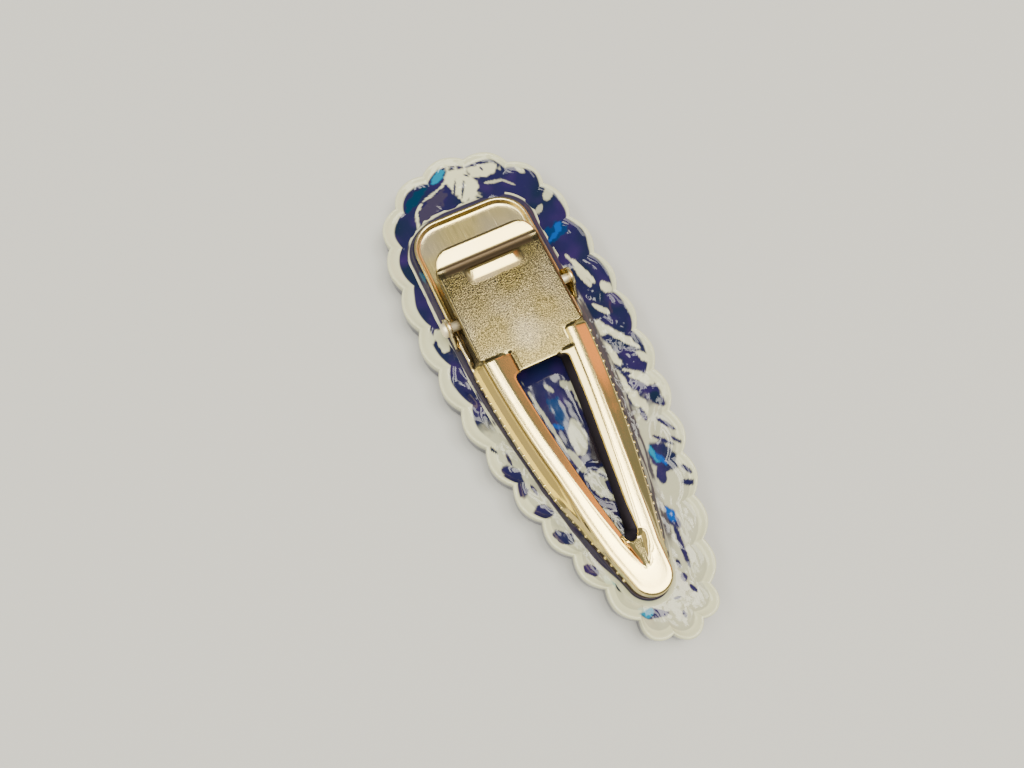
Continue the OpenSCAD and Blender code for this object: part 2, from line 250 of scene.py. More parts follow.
def gilt_finish(name, colour, roughness, pebble, brushed, lilac_reflection, shade_colour=(0.07, 0.05, 0.03)):
    """Gilt metal, pebbled or brushed, with painted lilac-grey reflection in soft patches, and with painted
    shade, dark and rougher, where the mesh's shade attribute is set.
    """
    material, tree, shader = new_finish(name)
    place = add(tree, "ShaderNodeTexCoord")["Object"]
    grain = add(tree, "ShaderNodeAttribute", attribute_name="grain")["Fac"]
    painted_shade = add(tree, "ShaderNodeAttribute", attribute_name="painted_shade")["Fac"]
    stretch = (0.35, 6.0, 1.0) if brushed else (1.0, 1.0, 1.0)
    drawn = add(tree, "ShaderNodeMapping", {"Vector": place, "Scale": stretch})["Vector"]
    lines = noise_of(tree, drawn, Scale=900.0, Detail=4.0, Roughness=0.65)
    pebbles = noise_of(tree, place, Scale=5200.0, Detail=2.0, Roughness=0.55)
    pattern, tones = (lines, BRUSHED_TONES) if brushed else (pebbles, PEBBLE_TONES)
    tone = ramp(tree, pattern, [(at, [c * dim for c in colour]) for at, dim in zip(TONE_STOPS, tones)])
    mottled = mix(tree, 1.0 if brushed else grain, (*colour, 1), tone)
    cloud = noise_of(tree, place, Scale=160.0, Detail=1.0)
    # Painted reflection: soft lilac-grey patches stand in for the lavender that the gilt reflects.
    painted_lilac_reflection = ramp(tree, cloud, [(0.42, (0, 0, 0)), (0.68, (lilac_reflection, lilac_reflection, lilac_reflection))])
    # Painted shade: where the shade attribute is set, the colour turns dark and the metal rougher.
    with_shade = mix(tree, painted_shade, mix(tree, painted_lilac_reflection, mottled, REFLECTED_LILAC_GREY), (*shade_colour, 1))
    spread = {"Value": lines, "To Min": roughness * 0.75, "To Max": roughness * 1.3}
    rough = add(tree, "ShaderNodeMapRange", spread)["Result"]
    rough = scaled(tree, painted_shade, 0.3, scaled(tree, grain, 0.03, rough))
    depth = {"Distance": 0.00006, "Strength": scaled(tree, grain, pebble), "Height": pattern}
    relief = add(tree, "ShaderNodeBump", depth)["Normal"]
    fill(tree, shader, {"Base Color": with_shade, "Metallic": 1.0, "Roughness": rough, "Normal": relief})
    return material


# Painted shade colours: the lever's is the dark brown default, the tray's is the last colour given, a dark
# purple-grey.
gilt_lever = gilt_finish("gilt_lever", (0.75, 0.59, 0.24), 0.125, 0.26, False, 0.1)
gilt_tray = gilt_finish("gilt_tray", (0.88, 0.7, 0.28), 0.24, 0.0, True, 0.45, (0.045, 0.038, 0.048))
gilt_pin = gilt_finish("gilt_pin", (1.0, 0.9, 0.66), 0.55, 0.0, False, 0.1)
print("finishes:", [m.name for m in bpy.data.materials])

# %% [markdown]
# The pieces of the clip are nets: rows of points, each row one section of the metal, with
# four-sided faces between the rows. Modelling from a box would do for a rough clip, but a net
# follows the stamped curves exactly and its points stay in order. The helpers make a piece in
# millimetres whose object sits at the origin, blend smoothly from 0 to 1 between two places or
# up and down again, draw a smooth line through a few points, and join rows into faces.

# %% Helpers for meshes
def finish_mesh(name, mesh, weld=0.0, face_up=False):
    """A smooth piece, its near doubles merged and its faces turned outwards, or upwards."""
    bm = bmesh.new()
    bm.from_mesh(mesh)
    if weld:
        bmesh.ops.remove_doubles(bm, verts=bm.verts, dist=weld * MM)
        bmesh.ops.dissolve_degenerate(bm, edges=bm.edges, dist=1e-8)
    bmesh.ops.recalc_face_normals(bm, faces=bm.faces)
    if face_up and sum(f.normal.z * f.calc_area() for f in bm.faces) < 0:
        bmesh.ops.reverse_faces(bm, faces=bm.faces)
    bm.to_mesh(mesh)
    bm.free()
    mesh.polygons.foreach_set("use_smooth", [True] * len(mesh.polygons))
    piece = bpy.data.objects.new(name, mesh)
    bpy.context.scene.collection.objects.link(piece)
    return piece


def make_piece(name, points, faces, weld=0.0005, face_up=False):
    """A piece from points in millimetres and the faces between them."""
    mesh = bpy.data.meshes.new(name)
    mesh.from_pydata([tuple(p) for p in np.asarray(points, float) * MM], [], faces)
    return finish_mesh(name, mesh, weld, face_up)


def ease(x, a, b):
    """0 up to a and 1 from b, with a smooth blend in between."""
    t = np.clip((np.asarray(x, float) - a) / (b - a), 0, 1)
    return t * t * (3 - 2 * t)


def between(x, rise, full, drop, end):
    """1 from full to drop, and 0 before rise and after end."""
    return ease(x, rise, full) * (1 - ease(x, drop, end))


def smooth_line(points, count, fine=40):
    """A curve through the points, cut into evenly spaced ones."""
    p = np.array(points, float)
    p = np.vstack([2 * p[0] - p[1], p, 2 * p[-1] - p[-2]])
    out = []
    for a, b, c, d in zip(p, p[1:], p[2:], p[3:]):
        for t in np.linspace(0, 1, fine, endpoint=False):
            bend = (2 * a - 5 * b + 4 * c - d) * t**2
            out.append(0.5 * (2 * b + (c - a) * t + bend + (3 * b - a - 3 * c + d) * t**3))
    out = np.array(out + [p[-2]])
    run = np.r_[0, np.cumsum(np.linalg.norm(np.diff(out, axis=0), axis=1))]
    at = np.linspace(0, run[-1], count)
    return np.stack([np.interp(at, run, out[:, k]) for k in range(out.shape[1])], 1)


def strip_faces(rows, columns, closed=False):
    """Faces between rows of points. A closed strip joins its last row to its first."""
    faces = []
    for r in range(rows - (0 if closed else 1)):
        for c in range(columns - 1):
            a, b = r * columns + c, ((r + 1) % rows) * columns + c
            faces.append((a, b, b + 1, a + 1))
    return faces


print("ease at a quarter, a half and three quarters:", ease([0.25, 0.5, 0.75], 0, 1))

# %% [markdown]
# The lever is one stamped sheet. Its section changes along its length: a flat tab with a short
# skirt at the press end, then two arms with a rib and a deep flange, which meet at the tip. It
# could be cut and bent from a box, but its creases run together in ways that only a table can
# follow. So it has stations along its outline, and at each one section from the flange's edge
# inwards.

# %% Stations along the jaws' outline
def side_station(x):
    """A place on the outline, x and y, and the outward direction there."""
    if x < SIDE_X:
        return np.array([x, HALF_W, 0.0, 1.0])
    s = (x - SIDE_X) / SIDE_R
    c = math.sqrt(1 - s * s)
    return np.array([x, SIDE_R * c - ARC_Y, s, c])


def tip_station(angle):
    c, s = math.cos(angle), math.sin(angle)
    return np.array([TIP_CX + TIP_R * c, TIP_R * s, c, s])


def moved_in(station, inset):
    return station[:2] - inset * station[2:]


print("outline half width at the pin: %.2f mm" % side_station(pin_at.x)[1])

# %% The window between the arms
FAR_NARROWER = [(-1, 0.7), (14, 0.7), (20, 0.5), (24.6, 0.0)]
MIDDLE_Y = {1: 2.5, -1: 3.2}
NOSE = 1.1


def window_half(x, side):
    """Half width of the window on one side of the clip's axis, or -1 beyond its ends."""
    half = WINDOW_HALF - (x - WINDOW_ARC_X) ** 2 / (2 * WINDOW_R)
    half -= np.interp(x, *zip(*FAR_NARROWER)) if side > 0 else 0
    half *= math.sqrt(max(1 - max((x - WINDOW_TIP + NOSE) / NOSE, 0) ** 2, 0))
    if x < WINDOW_X + 1:
        rear = max(1 - (x - WINDOW_X - 1) ** 2, 0)
        half = min(half, MIDDLE_Y[side] + math.sqrt(rear) * (half - MIDDLE_Y[side]))
    return half if WINDOW_X - 0.08 <= x <= WINDOW_TIP else -1.0


print("window half widths at x = 10:", [round(float(window_half(10, side)), 2) for side in (1, -1)])

# %% The arms' sections: inset from the outline, height above the tab
NEAR_ARM = [
    (-0.3, -1.9), (-0.3, -1.8), (-0.28, -1.72), (-0.24, -1.66), (-0.15, -1.59), (0.25, -1.27), (0.33, -1.21),
    (0.43, -1.15), (0.8, -0.93), (1.06, -0.77), (1.14, -0.71), (1.19, -0.55), (1.22, -0.3), (1.25, 0.1),
    (1.28, 0.4), (1.31, 0.53), (1.37, 0.62), (1.46, 0.66), (1.6, 0.672), (2.1, 0.675), (2.6, 0.672),
    (2.78, 0.665), (2.9, 0.63), (3.02, 0.58), (3.2, 0.505), (3.75, 0.275),
]
FAR_ARM = [
    (0.45, -1.9), (0.45, -1.5), (0.47, -1.36), (0.52, -1.27), (0.58, -1.21), (0.68, -1.13), (0.75, -1.09),
    (0.85, -1.04), (1.55, -0.725), (2.2, -0.43), (2.28, -0.38), (2.33, -0.28), (2.36, -0.1), (2.38, 0.15),
    (2.4, 0.4), (2.43, 0.53), (2.49, 0.62), (2.57, 0.66), (2.7, 0.672), (3.1, 0.675), (3.5, 0.672),
    (3.68, 0.665), (3.8, 0.63), (3.92, 0.585), (4.1, 0.51), (4.55, 0.32),
]
TIP_ARM = [
    (0.22, -1.9), (0.22, -1.5), (0.225, -1.2), (0.23, -1), (0.235, -0.8), (0.24, -0.6), (0.25, -0.45),
    (0.26, -0.3), (0.275, -0.15), (0.29, 0), (0.305, 0.12), (0.32, 0.22), (0.34, 0.31), (0.36, 0.39),
    (0.39, 0.46), (0.43, 0.52), (0.49, 0.58), (0.58, 0.625), (0.75, 0.655), (1.3, 0.672), (2.2, 0.672),
    (2.7, 0.665), (2.9, 0.63), (3.02, 0.58), (3.2, 0.505), (3.75, 0.275),
]
TO_TIP = {  # how far the section has turned into the tip's, along each side
    1: [(8, 0.0), (14, 0.1), (20, 0.29), (26, 0.6), (29.5, 1.0)],
    -1: [(14, 0.0), (17, 0.2), (20, 0.57), (25, 1.0)],
}


def arm_line(x, side):
    """Insets and heights at one station. Towards the tip the rib spreads outwards into one dome."""
    share = np.interp(x, *zip(*TO_TIP[side]))
    table = np.array(FAR_ARM if side > 0 else NEAR_ARM) * (1 - share) + np.array(TIP_ARM) * share
    return table[:, 0], table[:, 1]


print("points across an arm:", len(TIP_ARM))

# %% Heights of the tab: its rounded edge, the rolled end and the small grip ridge
TAB_ROUND = 0.5
RIDGE_HALF, ROLL_WIDER = 3.9, 1.8
ROLL = [  # place along the clip, height of the rolled end, height of the small ridge
    (-21.4, -0.05, 0), (-21.25, 0.22, 0), (-21.1, 0.46, 0), (-20.95, 0.63, 0), (-20.8, 0.71, 0),
    (-20.6, 0.72, 0), (-20.4, 0.69, 0), (-20, 0.565, 0), (-19.6, 0.44, 0), (-19.2, 0.315, 0),
    (-18.85, 0.205, 0), (-18.65, 0.12, 0), (-18.45, -0.04, 0), (-18.3, -0.09, 0), (-18.1, -0.115, 0),
    (-17.9, -0.105, 0), (-17.7, -0.07, 0), (-17.5, -0.03, 0), (-17.3, -0.008, 0), (-17.1, 0, 0.2),
    (-16.85, 0, 0.42), (-16.6, 0, 0.49), (-16.35, 0, 0.445), (-15.9, 0, 0.305), (-15.4, 0, 0.15),
    (-15.15, 0, 0.075), (-15, 0, 0.03), (-14.7, 0, 0), (-14.4, 0, 0),
]
roll_line = smooth_line(ROLL, 160)


def edge_drop(d, r=TAB_ROUND):
    """How far a rounded edge has fallen, at a distance from its side."""
    d = np.clip(d, 0, r)
    return np.sqrt(r * r - (r - d) ** 2) - r


def tab_half(x):
    over = TAB_END + TAB_CORNER - x
    return HALF_W - TAB_INSET - TAB_CORNER + math.sqrt(max(TAB_CORNER**2 - max(over, 0) ** 2, 0))


def tab_height(x, y):
    corner_x, corner_y = TAB_END + TAB_CORNER, HALF_W - TAB_INSET - TAB_CORNER
    if x < corner_x and abs(y) > corner_y:
        d = TAB_CORNER - math.hypot(x - corner_x, abs(y) - corner_y)
    else:
        d = min(HALF_W - TAB_INSET - abs(y), x - TAB_END)
    roll, ridge = (np.interp(x, roll_line[:, 0], roll_line[:, k]) for k in (1, 2))
    reach = RIDGE_HALF + ROLL_WIDER * ease(-x, 17.3, 17.6)
    side = min(HALF_W - TAB_INSET - abs(y), 1.0)
    return edge_drop(d) + roll * ease(side, 0.0, 0.5) + ridge * (1 - ease(abs(y), reach - 0.8, reach))


print("height of the rolled end: %.2f mm" % roll_line[:, 1].max())

# %% Places of the lever: from its own flat height to the clip at rest, and its lower edges
EYE_R, SKIRT, SKIRT_BEND = 1.7, 1.3, 0.85
FOOT_GAP = 0.05


def into_lever(points):
    """The tab's heights stand square on a plane that slopes through the pin."""
    p = np.array(points, float)
    c, s = math.cos(SLOPE), math.sin(SLOPE)
    x, h = p[:, 0] - pin_at.x, p[:, 2] + TAB_H
    return np.stack([pin_at.x + x * c + h * s, p[:, 1] + CLIP_Y, pin_at.z - x * s + h * c], 1)


def flange_foot(x):
    """Height of the flange's edge, which stands just clear of the tray's floor."""
    c, s = math.cos(SLOPE), math.sin(SLOPE)
    return (FLOOR_Z + FOOT_GAP - pin_at.z + (x - pin_at.x) * s) / c - TAB_H


def skirt_foot(x):
    """Height of the tab's skirt, which widens into a round eye at the pin."""
    reach = EYE_R**2 - (x - pin_at.x) ** 2
    return -TAB_H - math.sqrt(reach) if reach >= 0 else -SKIRT


print("flange's edge at the window: %.2f mm under the tab" % -flange_foot(WINDOW_X))

# %% One section of the lever
INNER_LIP = np.array([0.35, 0.68, 0.88, 0.97, 1.0])
WINDOW_EDGE, EDGE_FALL = np.array([0.22, 0.12, 0.05, 0.015, 0.0]), [0.01, 0.04, 0.08, 0.16]
LIP_COUNT = len(INNER_LIP)
SECTION = 2 + len(TIP_ARM) + LIP_COUNT
FLANGE, FAR_SLOPE = 14, 23
RIB_TOP, INNER_SLOPE = 0.672, 0.42
SADDLE_X, SADDLE_RUN, SADDLE_SLOPE = 28.1, 3.6, 0.21
RIB_X, FLANGE_X, FAR_RIB_X = (-4.3, -3.7), (-4.5, -3.8), (-1.6, -1.0)


def tab_insets(inner, at_corner):
    """Where a section's points lie on the tab. Round its corners they share the whole width."""
    spread, steps = np.linspace(0, 1, len(TIP_ARM)) ** 1.8, np.linspace(0.2, 1, LIP_COUNT)
    if at_corner:
        return np.r_[1, 1, 1 + (inner - 1) * np.r_[spread * 0.75, 0.75 + 0.25 * steps]]
    return np.r_[1, 1, 1 + 2.75 * spread, 3.75 + (inner - 3.75) * steps]


def arm_section(station, inner, kind, side):
    """Insets and heights across an arm, down to the window's rounded edge or to the axis."""
    line_t, line_h = arm_line(station[0], side)
    last = line_t[-1]
    insets = np.r_[line_t[0] - 0.07, line_t[0] - 0.02, line_t, last + max(inner - last, 0) * INNER_LIP]
    if kind == "window":
        insets = np.r_[np.minimum(insets[:-LIP_COUNT], inner - 0.24), inner - WINDOW_EDGE]
    insets = np.minimum(insets, inner)
    heights = np.interp(insets, line_t, line_h)
    heights = np.where(insets > last, line_h[-1] - INNER_SLOPE * (insets - last), heights)
    heights[2:FLANGE + 2] = line_h[:FLANGE]
    at_x = station[0] - insets * station[2]
    saddle = RIB_TOP - SADDLE_SLOPE * np.clip(SADDLE_X - at_x, 0, SADDLE_RUN) * ease(insets, 2.86, 3.12)
    heights += (saddle - heights) * ease(at_x, 23.4, 24.5) * (insets > 2.6)
    if kind == "window":
        heights[-4:] -= EDGE_FALL
    return insets, heights


def lever_section(station, inner, kind, side, at_corner=False):
    """Points (x, y, height) from the flange's edge inwards. The tab eases over into the arm."""
    on_tab, (on_arm, arm_h) = tab_insets(inner, at_corner), arm_section(station, inner, kind, side)
    out = []
    for j in range(SECTION):
        x = station[0] - on_arm[j] * station[2]
        flange, rib = (ease(x, *FLANGE_X), ease(x, *RIB_X)) if kind == "tab" else (1.0, 1.0)
        px, py = moved_in(station, on_tab[j] + (on_arm[j] - on_tab[j]) * flange)
        if side > 0 and j > FAR_SLOPE and kind == "tab":
            rib = ease(px, *FAR_RIB_X)
        if j < 2:
            low = skirt_foot(px) * (1.0, 0.6)[j]
            high = (flange_foot(px), (flange_foot(px) + arm_h[2]) / 2)[j]
        else:
            low, high = tab_height(px, py), arm_h[j]
        out.append((px, py, low + (high - low) * (flange if j < 2 + FLANGE else rib)))
    return out


print("points in a section:", SECTION)

# %% The rows across the tab
start_x = WINDOW_X + 0.36
for _ in range(8):  # settles on the row whose inner end is the window's near corner
    first = side_station(start_x)
    start_x = WINDOW_X + (first[1] - MIDDLE_Y[-1]) / first[3] * first[2]
end_x = [0, 0.04, 0.1, 0.18, 0.28, 0.4, 0.55, 0.72]
tab_x = TAB_END + np.r_[end_x, np.arange(0.9, 2.7, 0.2), np.arange(2.8, 7.4, 0.1)]
tab_x = np.r_[tab_x, np.arange(tab_x[-1] + 0.3, -5.4, 0.33), np.arange(-5.3, start_x - 0.08, 0.12), start_x]
eye_x = pin_at.x + EYE_R * np.cos(np.linspace(0, math.pi, 19))
tab_x = [x for x in tab_x if np.min(np.abs(eye_x - x)) > 0.05]
tab_x = np.sort(np.r_[tab_x, eye_x, eye_x[0] + 0.02, eye_x[-1] - 0.02])
middle_y = np.linspace(MIDDLE_Y[1], -MIDDLE_Y[-1], 25)[1:-1]


def tab_side(x, side, flat=None):
    """Half a row. A row that closes the tab's end lies flat, and its skirt stays as low as it was."""
    station, at_corner = side_station(x), x < TAB_END + TAB_CORNER
    if at_corner:
        station = np.array([x, tab_half(x) + TAB_INSET, 0.0, 1.0])
    inner = (station[1] - MIDDLE_Y[side]) / station[3]
    row = lever_section(station, inner, "tab" if x < start_x else "window", side, at_corner)
    if flat is not None:
        row = [(p[0], p[1], min(flat, p[2]) if j < 2 else flat) for j, p in enumerate(row)]
    return [(px, side * py, h) for px, py, h in row]


def tab_row(x, flat=None):
    far, near = tab_side(x, 1, flat), tab_side(x, -1, flat)
    middle = []
    for y in middle_y:
        mx = np.interp(y, [near[-1][1], far[-1][1]], [near[-1][0], far[-1][0]])
        h = (tab_height(mx, y) if flat is None else flat) + edge_drop(WINDOW_X - mx, 0.12)
        middle.append((mx, y, h))
    return far + middle + near[::-1]


tab_net = [tab_row(TAB_END, -SKIRT), tab_row(TAB_END, -SKIRT_BEND)] + [tab_row(x) for x in tab_x]
print("tab:", len(tab_net), "rows of", len(tab_net[0]))

# %% The rows round the arms, from the tab round the tip and back
arm_x = np.r_[np.arange(start_x, start_x + 1.4, 0.1), np.arange(start_x + 1.5, 23.2, 0.4)]
tip_from = TIP_CX + TIP_R * math.sin(TAPER)
arm_x = np.r_[arm_x, np.arange(23.3, 26.6, 0.1), np.arange(26.8, tip_from - 0.1, 0.25)]
arm_stations = [side_station(x) for x in arm_x]
arm_stations += [tip_station(a) for a in np.linspace(math.pi / 2 - TAPER, 0, 22)]


def arm_rows(side):
    """One row for each station, which ends where it meets the window, or else at the axis."""
    found = [tab_side(start_x, side)]
    for station in arm_stations[1:]:
        inner, kind = station[1] / station[3] if station[3] > 0.2 else TIP_R, "axis"
        for t in np.arange(2.0, inner, 0.02):
            x, y = moved_in(station, t)
            if window_half(x, side) > y:
                inner, kind = t, "window"
                break
        found.append([(px, side * py, h) for px, py, h in lever_section(station, inner, kind, side)])
    return found


arm_net = arm_rows(1) + arm_rows(-1)[-2::-1]
tab_points, arm_points = [p for row in tab_net for p in row], [p for row in arm_net for p in row]
lever_faces = strip_faces(len(tab_net), len(tab_net[0]))
lever_faces += [tuple(len(tab_points) + i for i in f) for f in strip_faces(len(arm_net), SECTION)]
lever_points = into_lever(tab_points + arm_points)
lever_sheet = make_piece("lever_sheet", lever_points, lever_faces, weld=0.004, face_up=True)
print("lever:", len(lever_sheet.data.vertices), "points")

# %% [markdown]
# The net above is only the sheet's upper skin. Solidify gives it the sheet's real half
# millimetre, inwards. A Bevel would round its edges, but they are rounded in the net already.
# The ribs of the real lever are rubbed smooth, so each point gets its share of the pebbled grain.
# Each point also gets its share of painted shade, which darkens the valley before the grip ridge,
# the rolled end's rear edge and the ridge's front and ends.

# %% The lever's thickness
def thicken(piece, thickness):
    wall = piece.modifiers.new("sheet", "SOLIDIFY")
    wall.thickness = thickness * MM
    wall.offset = -1.0
    wall.use_even_offset = False
    wall.use_quality_normals = True


TAB_RIDGE, VALLEY = (-17.25, -17.0, -15.4, -15.2), (-18.75, -18.6, -17.3, -17.05)
RIDGE_FRONT, RIDGE_ENDS = (-15.35, -15.1, -14.9, -14.5), (-17.2, -17.0, -15.4, -15.0)
END_SIDES = (3.1, 3.4, 3.9, 4.2)


def lever_marks(piece):
    """Strength of the pebbled grain and of the painted shade at each point."""
    grain, painted_shade = [], []
    for v in piece.data.vertices:
        x, y = v.co.x / MM, abs(v.co.y / MM - CLIP_Y)
        inner = 4.5 if v.co.y / MM > CLIP_Y else 3.6
        arm = max(ease(x, -4.6, -3.2) if y > inner else 0.0, ease(x, -1.4, -0.7))
        ridge = between(x, *TAB_RIDGE) * (1 - ease(y, 3.3, 3.9))
        polished = max(0.85 * arm, 0.7 * (1 - ease(x, -18.8, -18.6)), 0.7 * ridge)
        grain.append(1.0 - polished)
        # Painted shade: a dark band at the rolled end's rear edge, in the valley, and round the ridge.
        rear = 1 - ease(x, -20.75, -20.5)
        valley = between(x, *VALLEY) * (1 - ease(y, 6.0, 7.2))
        front = between(x, *RIDGE_FRONT) * (1 - ease(y, 3.0, 3.8))
        ends = between(y, *END_SIDES) * between(x, *RIDGE_ENDS)
        painted_shade.append(max(0.95 * rear, valley, 0.6 * front, 0.6 * ends))
    paint(piece, "grain", grain)
    paint(piece, "painted_shade", painted_shade)


lever_marks(lever_sheet)
thicken(lever_sheet, SHEET)
lever_sheet.data.materials.append(gilt_lever)
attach(lever_sheet, LEVER)
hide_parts("lever")
print("lever sheet faces:", len(lever_sheet.data.polygons))

# %% [markdown]
# The lower jaw is a tray, pressed from the same sheet. Its rim could be pulled up from a flat
# outline, but here too stations go round the whole outline, and each carries one section: the
# rim's inner wall, the bend at its foot, and the floor. The rim fades out where the arms begin.
# The flat floor between the last ring and the window is filled with triangles, which is simple
# and safe, because nothing there bends.

# %% The tray's stations
def press_stations(step):
    """One half of the press end: its straight back, a round corner and the straight side."""
    arc = np.arange(0, math.pi / 2 + 1e-6, step / CORNER_R)
    corner = [np.array([END_X + CORNER_R - CORNER_R * math.cos(a), HALF_W - CORNER_R + CORNER_R * math.sin(a),
                        -math.cos(a), math.sin(a)]) for a in arc]
    straight = [np.array([x, HALF_W, 0.0, 1.0]) for x in np.arange(END_X + CORNER_R + step, SIDE_X, step)]
    back = [np.array([END_X, y, -1.0, 0.0]) for y in np.arange(0, HALF_W - CORNER_R - step * 0.5, step)]
    return back + corner + straight


def all_stations(step, tip_steps=24):
    half = press_stations(step)
    last = TIP_CX + TIP_R * math.sin(TAPER)
    half += [side_station(x) for x in np.arange(SIDE_X, last - step * 0.4, step)]
    half += [tip_station(a) for a in np.linspace(math.pi / 2 - TAPER, 0, tip_steps)]
    return half + [s * np.array([1, -1, 1, -1]) for s in half[-2:0:-1]]


tray_stations = all_stations(0.4)
RIM_ENDS = (-6.2, -4.8)
RIM = np.array([(0.5, 0.8), (0.5, 0.5), (0.55, 0.24), (0.72, 0.06), (1.0, 0.0), (1.45, 0.0)])
PLAIN = np.array([(0.0, 0.0), (0.2, 0.0), (0.4, 0.0), (0.6, 0.0), (0.9, 0.0), (1.45, 0.0)])
tray_points = []
for station in tray_stations:
    for inset, height in RIM + (PLAIN - RIM) * ease(station[0], *RIM_ENDS):
        x, y = moved_in(station, inset)
        tray_points.append((x, y + CLIP_Y, FLOOR_Z + height))
tray_faces = strip_faces(len(tray_stations), len(RIM), closed=True)
print("tray:", len(tray_stations), "stations")

# %% The tray's floor, with its window
def window_outline(near_grow, far_grow, step=0.4):
    """The tray's window, a little narrower than the lever's."""
    rear = WINDOW_X - 1.3
    xs = np.arange(rear + 1, WINDOW_TIP - 1.5, step)
    outline = []
    for side, grow in ((1, far_grow), (-1, near_grow)):
        line = [(x, WINDOW_HALF - (x - WINDOW_ARC_X) ** 2 / (2 * WINDOW_R) + grow) for x in xs]
        w, end = line[0][1], line[-1]
        quarter, nose = np.linspace(0, math.pi / 2, 8)[:-1], np.linspace(0, math.pi / 2, 7)[1:-1]
        corner = [(rear + 1 - math.cos(a), w - 1 + math.sin(a)) for a in quarter]
        tip = [(end[0] + end[1] * math.sin(a), end[1] * math.cos(a)) for a in nose]
        outline.append([(x, side * y) for x, y in corner + line + tip])
    return outline[0] + outline[1][::-1]


WINDOW_GROWS = (-0.2, -1.0)


def tray_mesh():
    bm = bmesh.new()
    verts = [bm.verts.new(Vector(p)) for p in tray_points]
    for f in tray_faces:
        bm.faces.new([verts[i] for i in f])
    width = len(RIM)
    outer = [verts[i * width + width - 1] for i in range(len(tray_stations))]
    hole = [bm.verts.new((x, y + CLIP_Y, FLOOR_Z)) for x, y in window_outline(*WINDOW_GROWS)]
    edges = [bm.edges.get((a, b)) or bm.edges.new((a, b)) for ring in (outer, hole)
             for a, b in zip(ring, ring[1:] + ring[:1])]
    bmesh.ops.triangle_fill(bm, use_beauty=True, use_dissolve=False, edges=edges)
    points = [tuple(v.co) for v in bm.verts]
    bm.verts.index_update()
    faces = [tuple(v.index for v in f.verts) for f in bm.faces]
    bm.free()
    return points, faces


base_tray = make_piece("base_tray", *tray_mesh(), weld=0.002, face_up=True)
thicken(base_tray, SHEET)
print("tray faces:", len(base_tray.data.polygons))

# %% [markdown]
# The lower jaw holds the pin in two ears. Each is a strip that leaves the floor under the rim,
# bends up and ends in a round eye. It could be extruded from the tray's edge, but as a piece of
# its own it stays simple: a line bent through a few points, a half width at each, and the same
# net for both sides.

# %% The lower ears
EAR_OUT, EAR_EYE, EAR_FOOT, EAR_FOOT_Z = HALF_W + 0.6, 1.45, 2.9, 4.46
EAR_BEND = [(8.3, 4.96), (8.6, 4.965), (8.79, 5.03), (8.85, 5.2), (8.85, 5.6), (8.85, 6.4), (8.85, 7.16)]
ear_rows = []
for y, z in smooth_line(EAR_BEND, 16):
    up_the_ear = min(1, (pin_at.z - z) / (pin_at.z - EAR_FOOT_Z))
    ear_rows.append((y, z, EAR_EYE + (EAR_FOOT - EAR_EYE) * up_the_ear))
for a in np.linspace(0.12, math.pi / 2, 10):
    ear_rows.append((EAR_OUT - SHEET, pin_at.z + EAR_EYE * math.sin(a), EAR_EYE * math.cos(a)))
across = np.linspace(-1, 1, 13)


def ear_shell(side):
    points = [(pin_at.x + w * u, side * y + CLIP_Y, z) for y, z, w in ear_rows for u in across]
    return points, strip_faces(len(ear_rows), len(across))


ear_sheets = []
for side, name in ((1, "base_ear_left"), (-1, "base_ear_right")):
    ear = make_piece(name, *ear_shell(side))
    faces_out = sum(p.normal.y * side for p in ear.data.polygons) > 0
    if faces_out:  # turned inwards, so that the sheet's thickness grows outwards
        ear.data.flip_normals()
    thicken(ear, SHEET)
    ear_sheets.append(ear)
print("ears:", [e.name for e in ear_sheets])

# %% [markdown]
# The pin is a short round bar, peened into a dome at one end. A cylinder with a sphere on its
# end would show a seam, so it is a lathe: a table of radii along its length, turned about its
# axis. The other end is only broken at its edge. The lower jaw's finish goes on here too, with
# shade painted dark on its arms, where they lie under the lever.

# %% The pin
PIN_PROFILE = [  # radius, place along the pin
    (0.35, -10.25), (0.66, -10.2), (0.88, -10.06), (1, -9.86), (1.05, -9.64), (1.03, -9.44), (0.95, -9.385),
    (0.65, -9.38), (0.65, -4.7), (0.65, 0), (0.65, 4.7), (0.65, 9.38), (0.6, 9.47), (0.42, 9.5), (0.1, 9.5),
]


def ring_faces(rings, around):
    """Faces of a closed shell made of rings, with a cap on the first and on the last."""
    faces = []
    for r in range(rings - 1):
        for k in range(around):
            a, b = r * around + k, r * around + (k + 1) % around
            faces.append((a, b, b + around, a + around))
    return faces + [tuple(range(around)), tuple(range((rings - 1) * around, rings * around))]


def lathe(name, profile, centre, sides=48):
    turns = [2 * math.pi * k / sides for k in range(sides)]
    points = [(centre[0] + r * math.cos(a), centre[1] + y, centre[2] + r * math.sin(a))
              for r, y in profile for a in turns]
    return make_piece(name, points, ring_faces(len(profile), sides))


pin_piece = lathe("hinge_pin_round", PIN_PROFILE, (pin_at.x, CLIP_Y, pin_at.z))
pin_piece.data.materials.append(gilt_pin)
for piece in [base_tray] + ear_sheets:
    # Painted shade: the tray turns dark past x = -2 mm, where its arms lie under the lever.
    paint(piece, "painted_shade", [ease(v.co.x / MM, -3.0, -2.0) for v in piece.data.vertices])
    piece.data.materials.append(gilt_tray)
    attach(piece, BASE)
    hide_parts("base_plate")
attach(pin_piece, BASE)
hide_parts("hinge_pin")
print("pin:", len(pin_piece.data.vertices), "points")

# %% [markdown]
# A spring sits round the pin, under the lever, and presses the jaws shut. It is drawn wire, so
# it is a round tube along a path. A Screw modifier could wind the coil, but not the straight
# legs that leave it. The coil and the lower leg stay with the lower jaw. The last part of the
# coil and the upper leg turn with the lever about the same axis, so the wire still meets itself
# when the jaws open.

